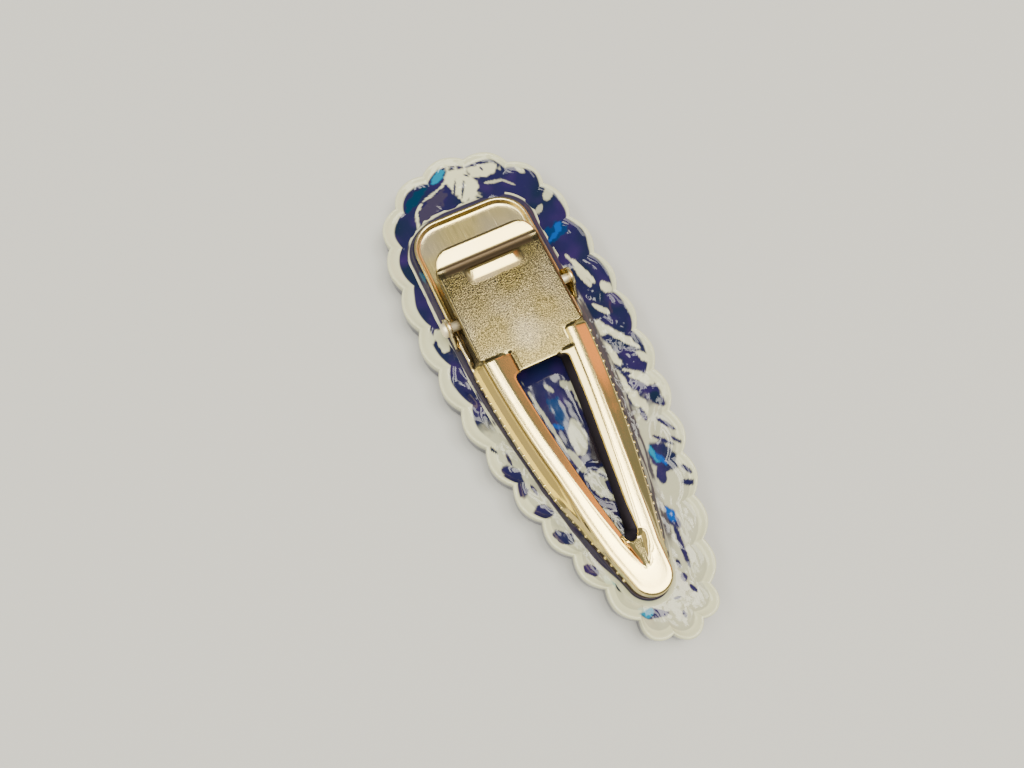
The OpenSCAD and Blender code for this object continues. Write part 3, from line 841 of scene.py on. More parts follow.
# %% The spring's path
WIRE_R, PIN_R, SLACK, TURN_GAP = 0.225, 0.65, 0.1, 0.12
COIL_R = PIN_R + SLACK + WIRE_R
LEG, TURNS, TOUCH, PIN_H = 5.8, 4, 0.03, 2.2
fall = math.asin((PIN_H - WIRE_R - TOUCH - COIL_R) / LEG)
rise = math.asin((TAB_H - SHEET + LEG * math.sin(SLOPE) - WIRE_R - TOUCH - COIL_R) / LEG)
sweep = 2 * math.pi * TURNS + math.pi - fall - rise
coil_half = (TURNS + 0.5) * (2 * WIRE_R + TURN_GAP) / 2


def coil_at(t):
    a = fall - math.pi / 2 + sweep * t
    return Vector((COIL_R * math.cos(a), coil_half * (2 * t - 1), COIL_R * math.sin(a)))


def spring_leg(start, way, shares):
    return [start + float(s) * LEG * Vector(way) for s in shares]


lower_path = spring_leg(coil_at(0), (-math.cos(fall), 0, -math.sin(fall)), np.linspace(1, 0.05, 12))
lower_path += [coil_at(t) for t in np.linspace(0, 0.92, 150)]
upper_path = [coil_at(t) for t in np.linspace(0.9, 1, 20)]
upper_path += spring_leg(coil_at(1), (-math.cos(rise), 0, math.sin(rise)), np.linspace(0.05, 1, 12))
print("spring turns:", TURNS)

# %% [markdown]
# Drawing leaves fine scratches on spring wire and its colour stays a cool grey, so a noise
# between two greys is enough for a piece that is hardly seen.

# %% Spring steel
spring_steel, steel_tree, steel = new_finish("spring_steel")
steel_place = add(steel_tree, "ShaderNodeTexCoord")["Object"]
scratches = noise_of(steel_tree, steel_place, Scale=1500.0, Detail=2.0)
greys = ramp(steel_tree, scratches, [(0.35, (0.42, 0.41, 0.38)), (0.65, (0.62, 0.6, 0.55))])
fill(steel_tree, steel, {"Base Color": greys, "Metallic": 1.0, "Roughness": 0.32})
print("finishes:", [m.name for m in bpy.data.materials])

# %% [markdown]
# A wire follows a path, and the teeth further on repeat along one, so Geometry Nodes make both.
# Loops in the script could place the same points, but a tree keeps its sizes as named inputs
# that can still be tried out by hand. Two helpers begin and end a tree, and a third runs it on
# a path and keeps the result as a plain mesh.

# %% Helpers for Geometry Nodes
def start_tree(name, **sizes):
    """A tree that takes a path and its sizes as named inputs."""
    tree = bpy.data.node_groups.new(name, "GeometryNodeTree")
    tree.interface.new_socket("Path", in_out="INPUT", socket_type="NodeSocketGeometry")
    for label, value in sizes.items():
        kind = "NodeSocketInt" if isinstance(value, int) else "NodeSocketFloat"
        tree.interface.new_socket(label, in_out="INPUT", socket_type=kind).default_value = value
    tree.interface.new_socket("Piece", in_out="OUTPUT", socket_type="NodeSocketGeometry")
    return tree, add(tree, "NodeGroupInput")


def end_tree(tree, made, material):
    real = add(tree, "GeometryNodeRealizeInstances", {"Geometry": made})["Geometry"]
    painted = add(tree, "GeometryNodeSetMaterial", {"Geometry": real, "Material": material})
    add(tree, "NodeGroupOutput", {"Piece": painted["Geometry"]})
    return tree


def grow(name, path, tree, **sizes):
    """Run a tree on a path given in millimetres, and keep the result as a plain mesh."""
    curve = bpy.data.curves.new(name + "_path", "CURVE")
    curve.dimensions = "3D"
    spline = curve.splines.new("POLY")
    spline.points.add(len(path) - 1)
    for point, co in zip(spline.points, np.array(path, float) * MM):
        point.co = (*co, 1)
    holder = bpy.data.objects.new(name + "_path", curve)
    bpy.context.scene.collection.objects.link(holder)
    setter = holder.modifiers.new("tree", "NODES")
    setter.node_group = tree
    for item in tree.interface.items_tree:
        if item.in_out == "INPUT" and item.name in sizes:
            setter[item.identifier] = sizes[item.name]
    seen = holder.evaluated_get(bpy.context.evaluated_depsgraph_get())
    mesh = bpy.data.meshes.new_from_object(seen)
    bpy.data.objects.remove(holder)
    return finish_mesh(name, mesh)


# %% The spring's wire
def wire_tree(material):
    tree, size = start_tree("wire_along_a_path", Radius=0.2 * MM, Sides=12)
    ring = {"Radius": size["Radius"], "Resolution": size["Sides"]}
    section = add(tree, "GeometryNodeCurvePrimitiveCircle", ring)["Curve"]
    tube = {"Fill Caps": True, "Curve": size["Path"], "Profile Curve": section}
    return end_tree(tree, add(tree, "GeometryNodeCurveToMesh", tube)["Mesh"], material)


steel_wire = wire_tree(spring_steel)
axle = Vector((pin_at.x, CLIP_Y, pin_at.z))
for name, path, body in (("spring_coil", lower_path, BASE), ("spring_arm", upper_path, LEVER)):
    wire = grow(name, [p + axle for p in path], steel_wire, Radius=WIRE_R * MM, Sides=12)
    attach(wire, body)
    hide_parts("torsion_spring")
    print(name, "faces:", len(wire.data.polygons))

# %% [markdown]
# Along the foot of both flanges the die left small teeth, which keep the closed clip from
# slipping. An Array modifier could repeat a tooth, but not along a curve that bends two ways.
# So Geometry Nodes set points along the flange's foot, put one small tooth on each, turned with
# the curve and a little different in size, and make them real.

# %% Paths along the flanges' feet
def foot_path(side):
    points = []
    for x in np.arange(-2.6, 28.9, 0.5):
        station = side_station(x)
        insets, heights = arm_line(x, side)
        foot = moved_in(station, insets[1] + (0.08 if side < 0 else 0.02))
        points.append((foot[0], side * foot[1], heights[1] - 0.02))
    return into_lever(points)


print("points on a foot:", len(foot_path(1)))

# %% The tree that sets the teeth
def teeth_tree(material):
    tree, size = start_tree("teeth_on_a_foot", Pitch=1.1 * MM, Width=0.3 * MM, Height=0.3 * MM, Seed=7)
    along = {"Curve": size["Path"], "Length": size["Pitch"]}
    spots = add(tree, "GeometryNodeCurveToPoints", along, mode="LENGTH")
    tooth = add(tree, "GeometryNodeMeshUVSphere", {"Segments": 10, "Rings": 6, "Radius": 1.0})
    width_and_height = {"X": size["Width"], "Y": size["Width"], "Z": size["Height"]}
    shape = add(tree, "ShaderNodeCombineXYZ", width_and_height)["Vector"]
    wobble = {2: 0.85, 3: 1.15, "Seed": size["Seed"]}
    wobble = add(tree, "FunctionNodeRandomValue", wobble, data_type="FLOAT")[1]
    shape = add(tree, "ShaderNodeVectorMath", {0: shape, "Scale": wobble}, operation="SCALE")["Vector"]
    teeth = add(tree, "GeometryNodeInstanceOnPoints", {
        "Points": spots["Points"], "Rotation": spots["Rotation"], "Instance": tooth["Mesh"], "Scale": shape})
    return end_tree(tree, teeth["Instances"], material)


tooth_tree = teeth_tree(gilt_tray)
for side, name in ((1, "teeth_left"), (-1, "teeth_right")):
    row = grow(name, foot_path(side), tooth_tree, Pitch=1.15 * MM, Width=0.26 * MM, Height=0.24 * MM, Seed=7)
    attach(row, LEVER)
    print(name, "triangles:", sum(len(p.vertices) - 2 for p in row.data.polygons))

# %% [markdown]
# The ornament was cast face down in an open mould, so its outline has crisp round lobes and its
# back is a liquid's skin: it climbs the mould's wall in a thin lip and lies wavy between. A
# traced outline would carry a hand's errors. This one is three tangent arcs a side, with the
# lobes cut into them, from the solid's own sizes.

# %% The scalloped outline
LOBES, WIDE_R, POINT_R, BELLY_R, LENGTH = 28, 14.0, 6.4, 114.0, 76.2
LOBE_DEPTH, LOBE_STRETCH = 1.1, 0.18
wide_cx, point_cx = WIDE_R - LENGTH / 2, LENGTH / 2 - POINT_R
gap, to_wide, to_point = point_cx - wide_cx, BELLY_R - WIDE_R, BELLY_R - POINT_R
belly_run = (to_wide**2 - to_point**2 + gap**2) / (2 * gap)
belly_cx, belly_cy = wide_cx + belly_run, -math.sqrt(to_wide**2 - belly_run**2)
wide_join = math.atan2(-belly_cy, wide_cx - belly_cx)
point_join = math.atan2(-belly_cy, point_cx - belly_cx)
wide_run, long_run = WIDE_R * (math.pi - wide_join), BELLY_R * (wide_join - point_join)
half_run = wide_run + long_run + POINT_R * point_join
MIDDLE_OFF, ORNAMENT_TURN = -0.130183, math.radians(0.7)


def outline_point(u, inset, share):
    """Point of the scalloped outline at u lobes from the wide end, moved inwards."""
    half = LOBES / 2
    t = (u if u <= half else LOBES - u) / half
    s = half_run * t * (1 + LOBE_STRETCH * (1 - t))
    d = inset + share * LOBE_DEPTH * (1 - abs(math.cos(math.pi * u)) ** 0.85)
    if s < wide_run:
        cx, cy, r, a = wide_cx, 0, WIDE_R, math.pi - s / WIDE_R
    elif s < wide_run + long_run:
        cx, cy, r, a = belly_cx, belly_cy, BELLY_R, wide_join - (s - wide_run) / BELLY_R
    else:
        cx, cy, r, a = point_cx, 0, POINT_R, (half_run - s) / POINT_R
    x, y = cx + (r - d) * math.cos(a), cy + (r - d) * math.sin(a)
    y = y if u <= half else -y
    turn_c, turn_s = math.cos(ORNAMENT_TURN), math.sin(ORNAMENT_TURN)
    return x * turn_c - y * turn_s, x * turn_s + y * turn_c - MIDDLE_OFF


def clip_distance(x, y):
    """Distance outside the clip's outline, negative under it."""
    y = abs(y - CLIP_Y)
    if x < END_X + CORNER_R and y > HALF_W - CORNER_R:
        return math.hypot(x - END_X - CORNER_R, y - HALF_W + CORNER_R) - CORNER_R
    if x < SIDE_X:
        return max(y - HALF_W, END_X - x)
    if x > TIP_CX and math.atan2(x - TIP_CX, y) > TAPER:
        return math.hypot(x - TIP_CX, y) - TIP_R
    return math.hypot(x - SIDE_X, y + ARC_Y) - SIDE_R


print("outline half length %.1f mm" % half_run)

# %% [markdown]
# The waves in the back are three sizes of smooth noise. They are rougher on the far side beside
# the clip's middle, weaker towards the point, and nearly still over the large dark island there.
# Sculpting could do the same, but noise gives the same skin at each run. A short table adds
# ripples and dimples where the real skin has strong ones.

# %% The skin of the back
DIMPLES = [  # x, y, length, width, turn in degrees, height
    (4.5, 11.3, 4, 1.6, -35, 0.42), (7.5, 9.6, 3.2, 1.1, -25, -0.36), (10, 10.4, 3.4, 1.2, -40, 0.4),
    (12.8, 9, 3, 1, -30, -0.34), (-6, 11.6, 3.6, 1.4, -20, 0.38), (0.2, 12, 3.2, 1.2, -30, 0.3),
    (-29.5, 4.5, 3.5, 2.2, 20, 0.35), (-31.5, -4, 3.4, 1.8, 60, 0.25), (-33.5, 1.5, 2.4, 3.2, 0, 0.3),
    (26, 6.2, 4.6, 1.1, -8, -0.14), (31.5, 4.4, 3, 0.9, -12, -0.16), (34.2, -2.8, 2.6, 1.2, 5, -0.3),
    (8, -10, 2.6, 1.4, 25, -0.32), (13, -9.2, 2.4, 1.2, 30, 0.28), (18.4, -8.3, 2.2, 1, 20, -0.3),
    (22.6, -7.4, 2.2, 1, 15, -0.26), (27, -6.4, 2.4, 0.9, 20, -0.28), (-2, -12, 4.2, 1.4, 10, 0.3),
    (3.2, -11, 3.6, 1.4, 15, -0.28),
]
ISLAND, ISLAND_EDGE = (16.8, 7.8), (3.4, 5.8)
POINT_CALM, WAVE_SHARE = (9.0, 13.0), 0.8
SIDE_WALL = [  # inset from the outline, height, share of the lobes' depth
    (2.2, 0, 0.6), (1.3, 0, 0.8), (0.9, 0.05, 0.9), (0.55, 0.18, 1), (0.25, 0.42, 1), (0.07, 0.75, 1),
    (0, 1.15, 1), (0, 1.8, 1), (0, 2.5, 1), (0, 3.1, 1), (0, 3.7, 1), (0.02, 4.2, 1), (0.06, 4.42, 1),
]
BACK_LIP = smooth_line([  # inset from the outline, height
    (0.12, 4.56), (0.25, 4.63), (0.42, 4.62), (0.65, 4.5), (0.95, 4.32), (1.35, 4.16), (1.9, 4.05),
    (2.6, 4), (3.4, 4)], 60)


def in_oval(x, y, oval):
    """Place along and across a turned oval, both 1 at its edge."""
    cx, cy, length, width, turn = oval[:5]
    c, s = math.cos(math.radians(turn)), math.sin(math.radians(turn))
    dx, dy = x - cx, y - cy
    return (dx * c + dy * s) / length * 2, (dy * c - dx * s) / width * 2


def waves(x, y):
    p = Vector((x, y, 0.0))
    rough = ease(y, 2.0, 8.0) * between(x, -12.0, 0.0, *POINT_CALM)
    calm = 1 - 0.75 * ease(x, *POINT_CALM)
    h = 0.16 * calm * noise.noise(p * 0.23 + Vector((3.1, 7.7, 1.3)))
    h += (0.07 * calm + 0.1 * rough) * noise.noise(p * 0.55 + Vector((9.2, 1.1, 4.5)))
    h += (0.02 + 0.07 * rough) * noise.noise(p * 1.3 + Vector((5.4, 2.8, 8.1)))
    h *= 0.15 + 0.85 * ease(math.hypot(x - ISLAND[0], y - ISLAND[1]), *ISLAND_EDGE)
    for dimple in DIMPLES:
        if max(abs(x - dimple[0]), abs(y - dimple[1])) < dimple[2]:
            u, v = in_oval(x, y, dimple)
            h += dimple[5] * math.exp(-1.6 * (u**2 + v**2))
    return h


def back_height(x, y, d):
    """Height of the back's skin, at a distance inside the outline."""
    out = clip_distance(x, y)
    lip = np.interp(d, BACK_LIP[:, 0], BACK_LIP[:, 1], right=BACK_Z)
    free = ease(out, 0.35, 1.3) * ease(d, 0.1, 1.0)
    return lip + waves(x, y) * free * WAVE_SHARE if out > 0 else BACK_Z


print("height of the lip: %.2f mm" % (BACK_LIP[:, 1].max() - BACK_Z))

# %% The ornament's net
AROUND = LOBES * 30
EDGE_IN, UNDER_CLIP = 0.12, 0.9
AXIS_ENDS = (-24.0, 29.0)


def outline_ring(inset, share):
    return [outline_point(k * LOBES / AROUND, inset, share) for k in range(AROUND)]


def under_clip(x, y):
    """Where the skin's row from an edge point ends: just inside the clip's outline."""
    start = Vector((x, y))
    to_axis = Vector((min(max(x, AXIS_ENDS[0]), AXIS_ENDS[1]), CLIP_Y)) - start
    way, near, far = to_axis.normalized(), 0.0, to_axis.length
    for _ in range(30):  # halves the stretch between outside and inside
        middle = (near + far) / 2
        place = start + way * middle
        outside = clip_distance(place.x, place.y) > -UNDER_CLIP
        near, far = (middle, far) if outside else (near, middle)
    return x + way.x * near, y + way.y * near


ornament_points = []
for inset, height, share in SIDE_WALL:
    ornament_points += [(x, y, height) for x, y in outline_ring(inset, share)]
ornament_edge = [0.0] * len(ornament_points)
outer = outline_ring(EDGE_IN, 1.0)
inner = [under_clip(x, y) for x, y in outer]
skin_rows = np.r_[np.linspace(0, 0.22, 15)[:-1], np.linspace(0.22, 1.0, 42)]
for share in skin_rows:
    for (x0, y0), (x1, y1) in zip(outer, inner):
        x, y = x0 + (x1 - x0) * share, y0 + (y1 - y0) * share
        depth = EDGE_IN + share * math.hypot(x1 - x0, y1 - y0)
        ornament_points.append((x, y, back_height(x, y, depth)))
        ornament_edge.append(depth)
ornament_faces = ring_faces(len(SIDE_WALL) + len(skin_rows), AROUND)
ornament = make_piece("cast_ornament", ornament_points, ornament_faces, weld=0)
print("ornament faces:", len(ornament.data.polygons))

# %% [markdown]
# The bed is the resin that was poured under the clip. Wetting pulls it up the clip's edge in a
# hollow fillet, and inside the window its skin shows, with two trapped bubbles. A Boolean with
# the clip would give a sharp joint and a torn net, so the bed has rows of its own, across the
# clip's edge, as the jaws have.

# %% The bed's net
BED_TOP, FILLET_H, FILLET_W = 4.43, 0.93, 1.15
BUBBLES = [(16.5, -1.0, 5.6, 3.3, 18, 0.22), (22.0, -1.3, 2.8, 1.3, 10, 0.12)]
fillet = np.linspace(0, 1, 16)
reach_in = np.r_[np.linspace(0.03, 0.45, 8), np.linspace(0.47, 1.0, 46)]


def bed_height(x, y):
    """Height of the bed's skin: nearly flat, with a ring and a dome for each bubble."""
    p = Vector((x, y, 5.0))
    h = BED_TOP - 0.06 + 0.04 * noise.noise(p * 0.3) + 0.012 * noise.noise(Vector((x * 0.25, y * 0.9, 2.0)))
    h += 0.004 * noise.noise(p * 1.1)
    for bubble in BUBBLES:
        q = math.hypot(*in_oval(x, y, bubble)) + 0.1 * noise.noise(p * 1.2)
        if q < 1.9:
            h += bubble[5] * (math.exp(-((q - 1.0) / 0.2) ** 2) * 0.5 + 0.3 * math.exp(-(q / 0.6) ** 2))
            h += 0.02 * bubble[5] * noise.noise(p * 3.0) * max(0.0, 1.1 - q)
    return h


def moat(x, y):
    """How much wider the fillet is at the press end and along the far side."""
    end = 1 - ease(x, -27, -22)
    far = 0.3 * (1 - end) * ease(y, 0, 4) * (1 - ease(x, -14, -8))
    return far + end * (0.1 + 0.7 * ease(y, -8, -3))


def bed_row(station):
    """One row of the bed, from the fillet's foot over the clip's edge to the axis."""
    o, n = Vector(station[:2]), Vector(station[2:])
    width = FILLET_W + 0.25 * noise.noise(Vector((o.x * 0.3, o.y * 0.3, 9.0))) - 0.3 * ease(o.x, -4, 10)
    width += moat(o.x, o.y)
    foot, edge = o + n * (width + 0.02), o - n * 0.04
    row = [(foot.x, foot.y + CLIP_Y, BACK_Z - 0.1)]
    for share in fillet:
        p = o + n * (width * (1 - share))
        row.append((p.x, p.y + CLIP_Y, BACK_Z - 0.01 + FILLET_H * share**2.3))
    row.append((edge.x, edge.y + CLIP_Y, FLOOR_Z - 0.05))
    axis = Vector((min(max(o.x, END_X + CORNER_R), TIP_CX), 0.0))
    for share in reach_in:
        p = o + (axis - o) * share
        row.append((p.x, p.y + CLIP_Y, bed_height(p.x, p.y + CLIP_Y)))
    return row


bed_net = [bed_row(station) for station in all_stations(0.25, 30)]
bed_faces = strip_faces(len(bed_net), len(bed_net[0]), closed=True)
bed_faces.append(tuple(i * len(bed_net[0]) for i in range(len(bed_net))))
resin_bed = make_piece("resin_bed", [p for row in bed_net for p in row], bed_faces)
print("bed faces:", len(resin_bed.data.polygons))

# %% [markdown]
# The resin is dyed a deep indigo. Its lip is thin and nearly clear, so it looks milky, and the pale
# places, with dark islands between them, are partly that milky tone and partly painted reflection
# of the light. Flakes of blue foil lie under the skin. A picture could be wrapped round it, but
# painting each point of the dense net by rule needs no file and fits the form. The rules are tables
# of turned ovals, whose edges a noise makes ragged.

# %% The resin's colours
INDIGO, NAVY, VIOLET = (0.01, 0.008, 0.05), (0.004, 0.01, 0.03), (0.022, 0.01, 0.07)
CYAN, BLUE, DEEP_TEAL, DEEP_BLUE = (0.0, 0.15, 0.27), (0.0, 0.05, 0.25), (0.0, 0.02, 0.05), (0.0, 0.02, 0.085)
# MILK_AND_SHEEN is the milky tone of clear resin, and it is also used for painted reflection of the light.
PALE_TEAL, PLUM, MILK_AND_SHEEN = (0.26, 0.4, 0.34), (0.028, 0.022, 0.05), (0.56, 0.56, 0.37)
WET_DARK, WET_PALE = (0.05, 0.043, 0.052), (0.26, 0.25, 0.2)
FILLET_SHADE, ARM_SHADE_DARK = (0.03, 0.024, 0.045), (0.013, 0.009, 0.015)
FOILS = [  # x, y, length, width, turn, colour
    (-31.2, -4.4, 6.4, 2.4, -50, PLUM), (-35.7, -1.5, 2.6, 1.5, 112, CYAN),
    (-33.6, -6, 5.2, 1.6, 122, DEEP_TEAL), (-19.7, 10.2, 4.4, 2.4, -62, DEEP_BLUE),
    (-19.4, 10, 2.8, 0.7, -62, BLUE), (-20.5, 10.9, 1.6, 0.8, -50, BLUE), (15.6, 7.2, 3.4, 0.8, 10, CYAN),
    (16.4, 7.7, 2.6, 0.8, 15, BLUE), (23.4, 5.3, 2, 1.3, 10, BLUE), (32.9, -3.3, 1.9, 1.2, 60, CYAN),
    (5.2, -1.7, 5.4, 1.9, 0, DEEP_BLUE), (7, -2.6, 1.6, 0.6, 40, BLUE), (8.9, 11.3, 2.4, 1.3, 20, NAVY),
    (-21, -10.2, 2.4, 0.5, 3, CYAN), (28, -5.6, 2.2, 0.9, 20, PALE_TEAL),
]
PALE = [  # places that are pale, from clear resin and from painted reflection: x, y, length, width, turn, strength
    (-34.4, -0.8, 3, 0.45, -60, 0.9), (-33.2, -3.6, 4.3, 0.4, -71, 0.8), (-32, -6.1, 2.4, 0.45, -54, 0.85),
    (-30.2, -7.2, 3.2, 0.5, -16, 0.9), (-31.6, 10.1, 2.4, 0.9, 20, 0.75), (-31.4, 5.6, 2.6, 0.5, 75, 0.6),
    (-30.4, 7.6, 2.2, 0.35, 40, 0.5), (-33, 1.3, 7, 4.2, 8, 1), (-33.9, 5, 5.4, 2.4, 76, 0.95),
    (-31.6, 0.8, 3.6, 2.2, 10, 0.6), (-35.2, 7.6, 3, 1.2, 60, 0.7), (-26, 12.2, 2.4, 1.5, -40, 0.7),
    (-24.2, 9.8, 1.8, 0.9, -50, 0.5), (-12.6, 10.9, 6.4, 0.9, 18, 0.95), (-11.6, 10.5, 4.2, 0.8, 12, 0.9),
    (-8.6, 12.8, 2.6, 1.3, 10, 0.9), (-5.9, 10.6, 3, 0.8, 35, 0.85), (-1.2, 11, 6.2, 1.1, 32, 0.95),
    (-3.4, 9.2, 2.6, 1.4, 0, 0.9), (0.4, 8.7, 4.4, 1.4, 10, 0.95), (4.6, 8, 4.6, 1.6, 5, 0.95),
    (5.2, 10.6, 4.4, 1.3, 40, 0.9), (8.2, 8.9, 4, 1.6, 10, 0.95), (-11.2, -11.6, 4.4, 1.7, 0, 0.9),
    (-13.6, -13.4, 5, 1.9, 12, 0.9), (3, 12.6, 3, 1, 20, 0.9),
]
# Painted reflection: pale patches on the resin inside the window, with the bubbles among them.
WINDOW_PALE = [
    (4.4, 2, 5.2, 1.6, -6, 1), (2.2, 1, 2.4, 1.2, 40, 0.9), (9.4, -0.8, 5.4, 2.3, -10, 1),
    (5.6, -3.6, 11, 0.5, 6, 0.9), (1.6, -1.4, 1.6, 0.6, 30, 0.7), (12.4, -2.4, 4.4, 0.9, 12, 0.9),
    (7, 3.6, 9, 0.16, -2, 0.7), (11.5, 2.6, 6, 0.14, -6, 0.7), (16.4, -0.9, 5.4, 3, 18, 0.95),
    (22, -1.3, 2.6, 1.2, 10, 0.7), (20.2, -1.8, 2.4, 0.7, 20, 0.6),
]
WINDOW_DARK = [
    (17.3, 0, 2.6, 1.1, 15), (15.4, -0.3, 1.3, 0.5, 40), (18.2, -1.4, 1.2, 0.5, 60),
    (22.1, -1.2, 1.9, 0.7, 10),
]
DARK = [  # dyed islands and veins in the pale part: x, y, length, width, turn
    (11.1, -11, 5.2, 2.5, 3), (16.3, -9.4, 2.7, 2, 60), (20.4, -8.4, 3.2, 1.6, 40),
    (25.5, -7.1, 2.3, 1.4, 35), (28.4, -5, 2.4, 1, 10), (33.4, -2.6, 3.4, 1.3, 68), (35.1, 0.9, 1, 0.5, 0),
    (33, 1, 1, 0.4, 80), (32.8, 3.4, 1.4, 0.6, 20), (31.1, 3, 1.2, 0.9, 0), (29.4, 3.2, 1.3, 0.5, 0),
    (23.9, 5.3, 3.4, 1.5, 6), (27.6, 4.7, 6.4, 0.7, -8), (16.4, 8, 4.8, 3.4, 15), (18.4, 6.8, 2.8, 1.4, -15),
    (19.3, 10.1, 1.9, 0.6, 20), (20.9, 9.5, 1.9, 0.9, 60), (8.9, 11.3, 3.2, 1.7, 20),
    (12.6, 10.6, 3.4, 0.6, 30), (14.4, 9.2, 3.2, 0.6, 40), (15.4, 10.9, 2.6, 0.5, 30),
    (10.2, 8.6, 2.4, 0.7, 0), (6.4, 9.6, 2.8, 0.7, 40), (2.2, 10.2, 3, 0.8, 20), (4, 9.2, 1.8, 0.6, 60),
    (-32.5, -0.2, 3.6, 0.35, -28), (-32.1, 1, 3.2, 0.4, -30), (-34, 2.4, 0.9, 0.4, 40),
    (-34.2, 5, 1, 0.4, 10), (6, -11.9, 2, 0.5, 30), (8, -10.4, 2.2, 0.5, 0), (13.2, -9.2, 2, 0.4, 10),
]
print("ovals:", sum(len(table) for table in (FOILS, PALE, WINDOW_PALE, WINDOW_DARK, DARK)))

# %% Helpers for the colours
def noise_at(points, scale, shift):
    offset = Vector((shift, 2.7 * shift, 0.6 * shift))
    return np.array([noise.noise(Vector(p) * scale + offset) for p in points])


def ragged_at(points):
    return 0.34 * noise_at(points, 1.1, 2.0) + 0.1 * noise_at(points, 2.6, 5.0)


def outside_clip(x, y):
    return np.array([clip_distance(a, b) for a, b in zip(x, y)])


def in_spots(x, y, spots, ragged):
    """Strength of each turned oval with a ragged edge: 1 inside, 0 outside."""
    for spot in spots:
        yield spot, 1 - ease(np.hypot(*in_oval(x, y, spot)) + ragged, 0.88, 1.06)


def mix_colours(base, colour, share):
    return base + (np.array(colour) - base) * share[:, None]


def dyed(points, ragged):
    """The dyes run into each other in two sizes of noise, and the foils lie over them."""
    navy = np.clip(1.1 * noise_at(points, 0.22, 0.0) + 0.4, 0, 1)
    violet = np.clip(noise_at(points, 0.5, 4.0) + 0.1, 0, 1)
    colours = mix_colours(mix_colours(np.tile(INDIGO, (len(points), 1)), NAVY, navy), VIOLET, violet)
    for foil, share in in_spots(points[:, 0], points[:, 1], FOILS, 1.7 * ragged):
        colours = mix_colours(colours, foil[5], share)
    return colours


def wet_strip(x, y, colours):
    """Grey, streaked resin beside the far flange, laid over the colours."""
    out = outside_clip(x, y)
    share = ease(y, 0, 3) * between(x, -11, -7, 25, 28) * (1 - ease(out, 1.35, 1.6)) * ease(out, 0, 0.1)
    run = np.stack([x * 0.3, out * 3.4, np.full_like(x, 3.0)], 1)
    later = 0.4 * ease(x, 3, 13)
    streaks = ease(noise_at(run, 0.9, 1.0), 0.3 - later, 0.5 - later)
    return mix_colours(colours, mix_colours(WET_DARK, WET_PALE, streaks), share)


def mesh_points(piece):
    flat = np.zeros(len(piece.data.vertices) * 3)
    piece.data.vertices.foreach_get("co", flat)
    return flat.reshape(-1, 3) / MM


def set_tint(piece, colours):
    attribute = piece.data.color_attributes.new("tint", "FLOAT_COLOR", "POINT")
    with_alpha = np.hstack([colours, np.ones((len(colours), 1))])
    attribute.data.foreach_set("color", with_alpha.astype(np.float32).ravel())


print("points to colour:", len(ornament.data.vertices) + len(resin_bed.data.vertices))

# %% [markdown]
# On the cast back the lip is pale all round, and the point is pale as well. This pale tone is
# partly the thin lip's clear resin and partly painted reflection of the light on the glossy skin.
# One ramp along the plate would be simpler, but would look printed. So the tone goes by distance
# from the edge and by place, pale ovals add to it and dark ones take it away, and only the lip's
# outermost rim stays pale where an island meets it.

# %% Colours of the cast back
SHEEN_FROM = (3.2, 9.0)


def back_colours(points, depth):
    x, y, z = points.T
    flat = points * [1, 1, 0]
    ragged = ragged_at(flat)
    lip_width = 1.35 + 0.3 * noise_at(flat, 0.35, 3.0) + 0.45 * ease(-y, 9, 13)
    lip_width -= 0.55 * ease(y, 4, 10) * (1 - ease(x, -4, 8))
    lip = 0.95 * (1 - ease(depth, lip_width - 0.12, lip_width + 0.12)) * ease(z, 2.7, 4.1)
    start = np.where(y < 0, *SHEEN_FROM)
    on_top = ease(z, 2.7, 4.0)
    # Painted reflection: towards the point the pale tone spreads over the dye.
    pale_sheen = 0.62 * ease(x + 3.0 * ragged, start - 1.2, start + 1.2) * on_top
    for spot, share in in_spots(x, y, PALE, ragged):
        pale_sheen = np.maximum(pale_sheen, spot[5] * share * on_top)
    for spot, share in in_spots(x, y, DARK, 0.8 * ragged):
        pale_sheen, lip = pale_sheen * (1 - share), lip * (1 - share * ease(depth, 0.55, 0.8))
    milk_and_sheen = np.maximum(lip, pale_sheen)
    print("pale share of the back: %.2f" % np.mean(milk_and_sheen > 0.5))
    return wet_strip(x, y, mix_colours(dyed(points, ragged), MILK_AND_SHEEN, milk_and_sheen))


set_tint(ornament, back_colours(mesh_points(ornament), np.array(ornament_edge)))

# %% [markdown]
# The bed is painted with the same dyes. Its fillet beside the clip gets painted shade, a dark
# purple-grey, and a grey strip with paler streaks runs along the far flange. Its foot is pale,
# from clear resin and painted reflection. In the window, shade is painted along the far side,
# where the far arm hangs over the resin, and pale patches of painted reflection lie on the rest.
# Each streak could be an oval too, but a noise that is stretched along the edge makes them all at once.

# %% Colours of the bed
# Edge of the painted shade under the far arm, along the window.
ARM_SHADE_X, ARM_SHADE_Y = [0, 5.5, 7, 9, 12.5, 14], [2.2, 2.0, 1.1, 0.9, -0.6, -0.4]


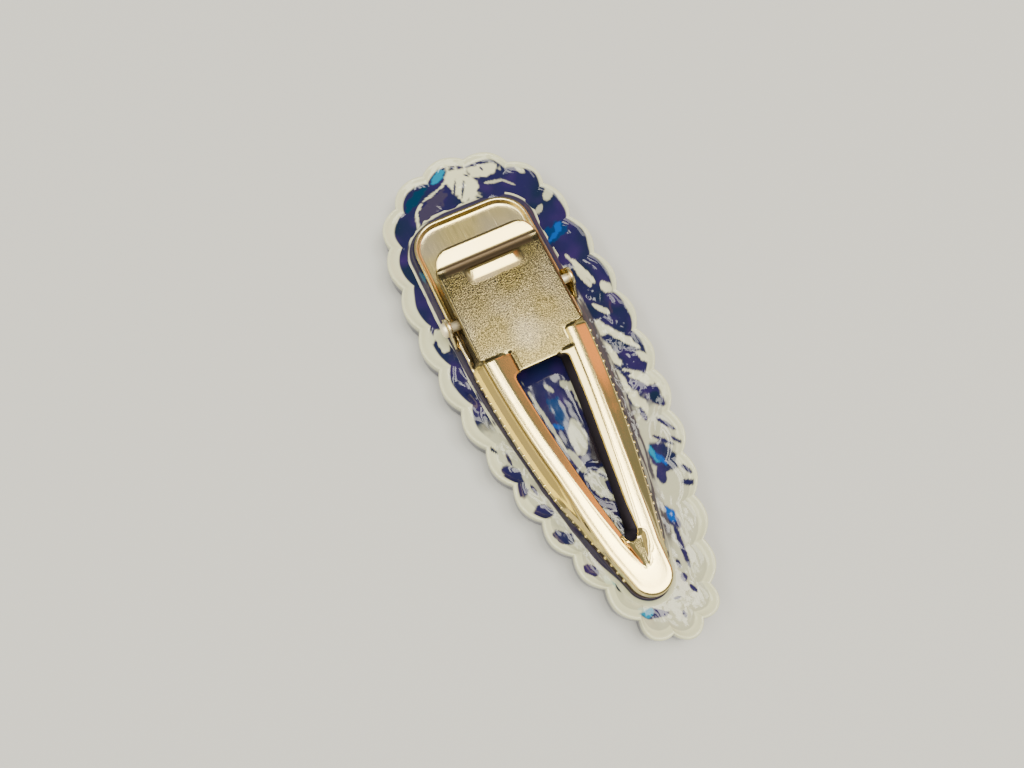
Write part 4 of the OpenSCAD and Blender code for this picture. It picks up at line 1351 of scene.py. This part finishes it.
def bed_colours(points):
    x, y, z = points.T
    out, ragged = outside_clip(x, y), ragged_at(points)
    run = np.stack([x * 0.5, out * 4.0, np.where(y > 0, 3.0, 9.0)], 1)
    streaks = noise_at(run, 0.8, 1.0)
    foot_at = 0.78 + moat(x, y) - 0.25 * ease(x, -4, 10) - 0.48 * ease(x - 2 * (y > 0), 24, 29)
    broken = np.maximum(ease(streaks, -0.45, -0.2), ease(x, 26, 29))
    # Painted reflection and clear resin: the fillet's pale foot and silvery streaks along the far side.
    foot = ease(out, foot_at, foot_at + 0.12) * broken * (z > BACK_Z - 0.05)
    silver = 0.55 * ease(y, 0, 3) * ease(x, 0, 6) * ease(out, 0.02, 0.1) * ease(streaks, -0.1, 0.12)
    pale_sheen = np.maximum(0.8 * foot, silver)
    # Painted shade: dark along the window's far side, under the far arm.
    beyond = y - np.interp(x, ARM_SHADE_X, ARM_SHADE_Y) + 0.5 * ragged
    far_arm_shade = ease(beyond, -0.1, 0.15) * between(x, -2, 0, 13.5, 14.1) * (out < 0)
    for spot, share in in_spots(x, y, WINDOW_PALE, ragged):
        covered = 1 - far_arm_shade if spot[3] > 0.3 else 1
        pale_sheen = np.maximum(pale_sheen, 0.7 * spot[5] * share * covered)
    for spot, share in in_spots(x, y, WINDOW_DARK, ragged):
        pale_sheen = pale_sheen * (1 - share)
    print("pale share of the bed: %.2f" % np.mean(pale_sheen > 0.5))
    # Painted shade: the fillet outside the clip's edge is darkened to a purple-grey.
    colours = mix_colours(dyed(points, ragged), FILLET_SHADE, 0.7 * ease(out, 0.0, 0.15))
    return wet_strip(x, y, mix_colours(mix_colours(colours, ARM_SHADE_DARK, far_arm_shade), MILK_AND_SHEEN, pale_sheen))


set_tint(resin_bed, bed_colours(mesh_points(resin_bed)))

# %% [markdown]
# Cured resin shines like glass, with fine specks of foil. Real transparency would need every
# layer inside modelled and many more samples, so the finish is an opaque glossy one over the
# painted colours. It reads them from the attribute called tint.

# %% Glossy resin
def resin_finish(name, speck):
    material, tree, shader = new_finish(name)
    place = add(tree, "ShaderNodeTexCoord")["Object"]
    tint = add(tree, "ShaderNodeAttribute", attribute_name="tint")["Color"]
    flakes = add(tree, "ShaderNodeTexVoronoi", {"Vector": place, "Scale": 1400.0})["Distance"]
    sparkle = ramp(tree, flakes, [(0.0, (speck, speck, speck)), (0.16, (0, 0, 0))])
    lit = mix(tree, 1.0, tint, sparkle, blend_type="ADD")
    skin = noise_of(tree, place, Scale=420.0, Detail=2.0)
    relief = add(tree, "ShaderNodeBump", {"Distance": 0.00004, "Strength": 0.2, "Height": skin})["Normal"]
    haze = add(tree, "ShaderNodeMapRange", {"Value": skin, "To Min": 0.03, "To Max": 0.09})["Result"]
    fill(tree, shader, {"Base Color": lit, "Normal": relief, "Roughness": haze, "IOR": 1.38})
    return material


resin_back = resin_finish("glossy_resin", 0.012)
resin_clear = resin_finish("bed_resin", 0.006)
for piece, material, node, slot in ((ornament, resin_back, "resin_ornament", "resin"),
                                    (resin_bed, resin_clear, "glue_bed", "bed_resin")):
    piece.data.materials.append(material)
    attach(piece, BASE)
    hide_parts(node)
print("resin pieces:", ornament.name, resin_bed.name)
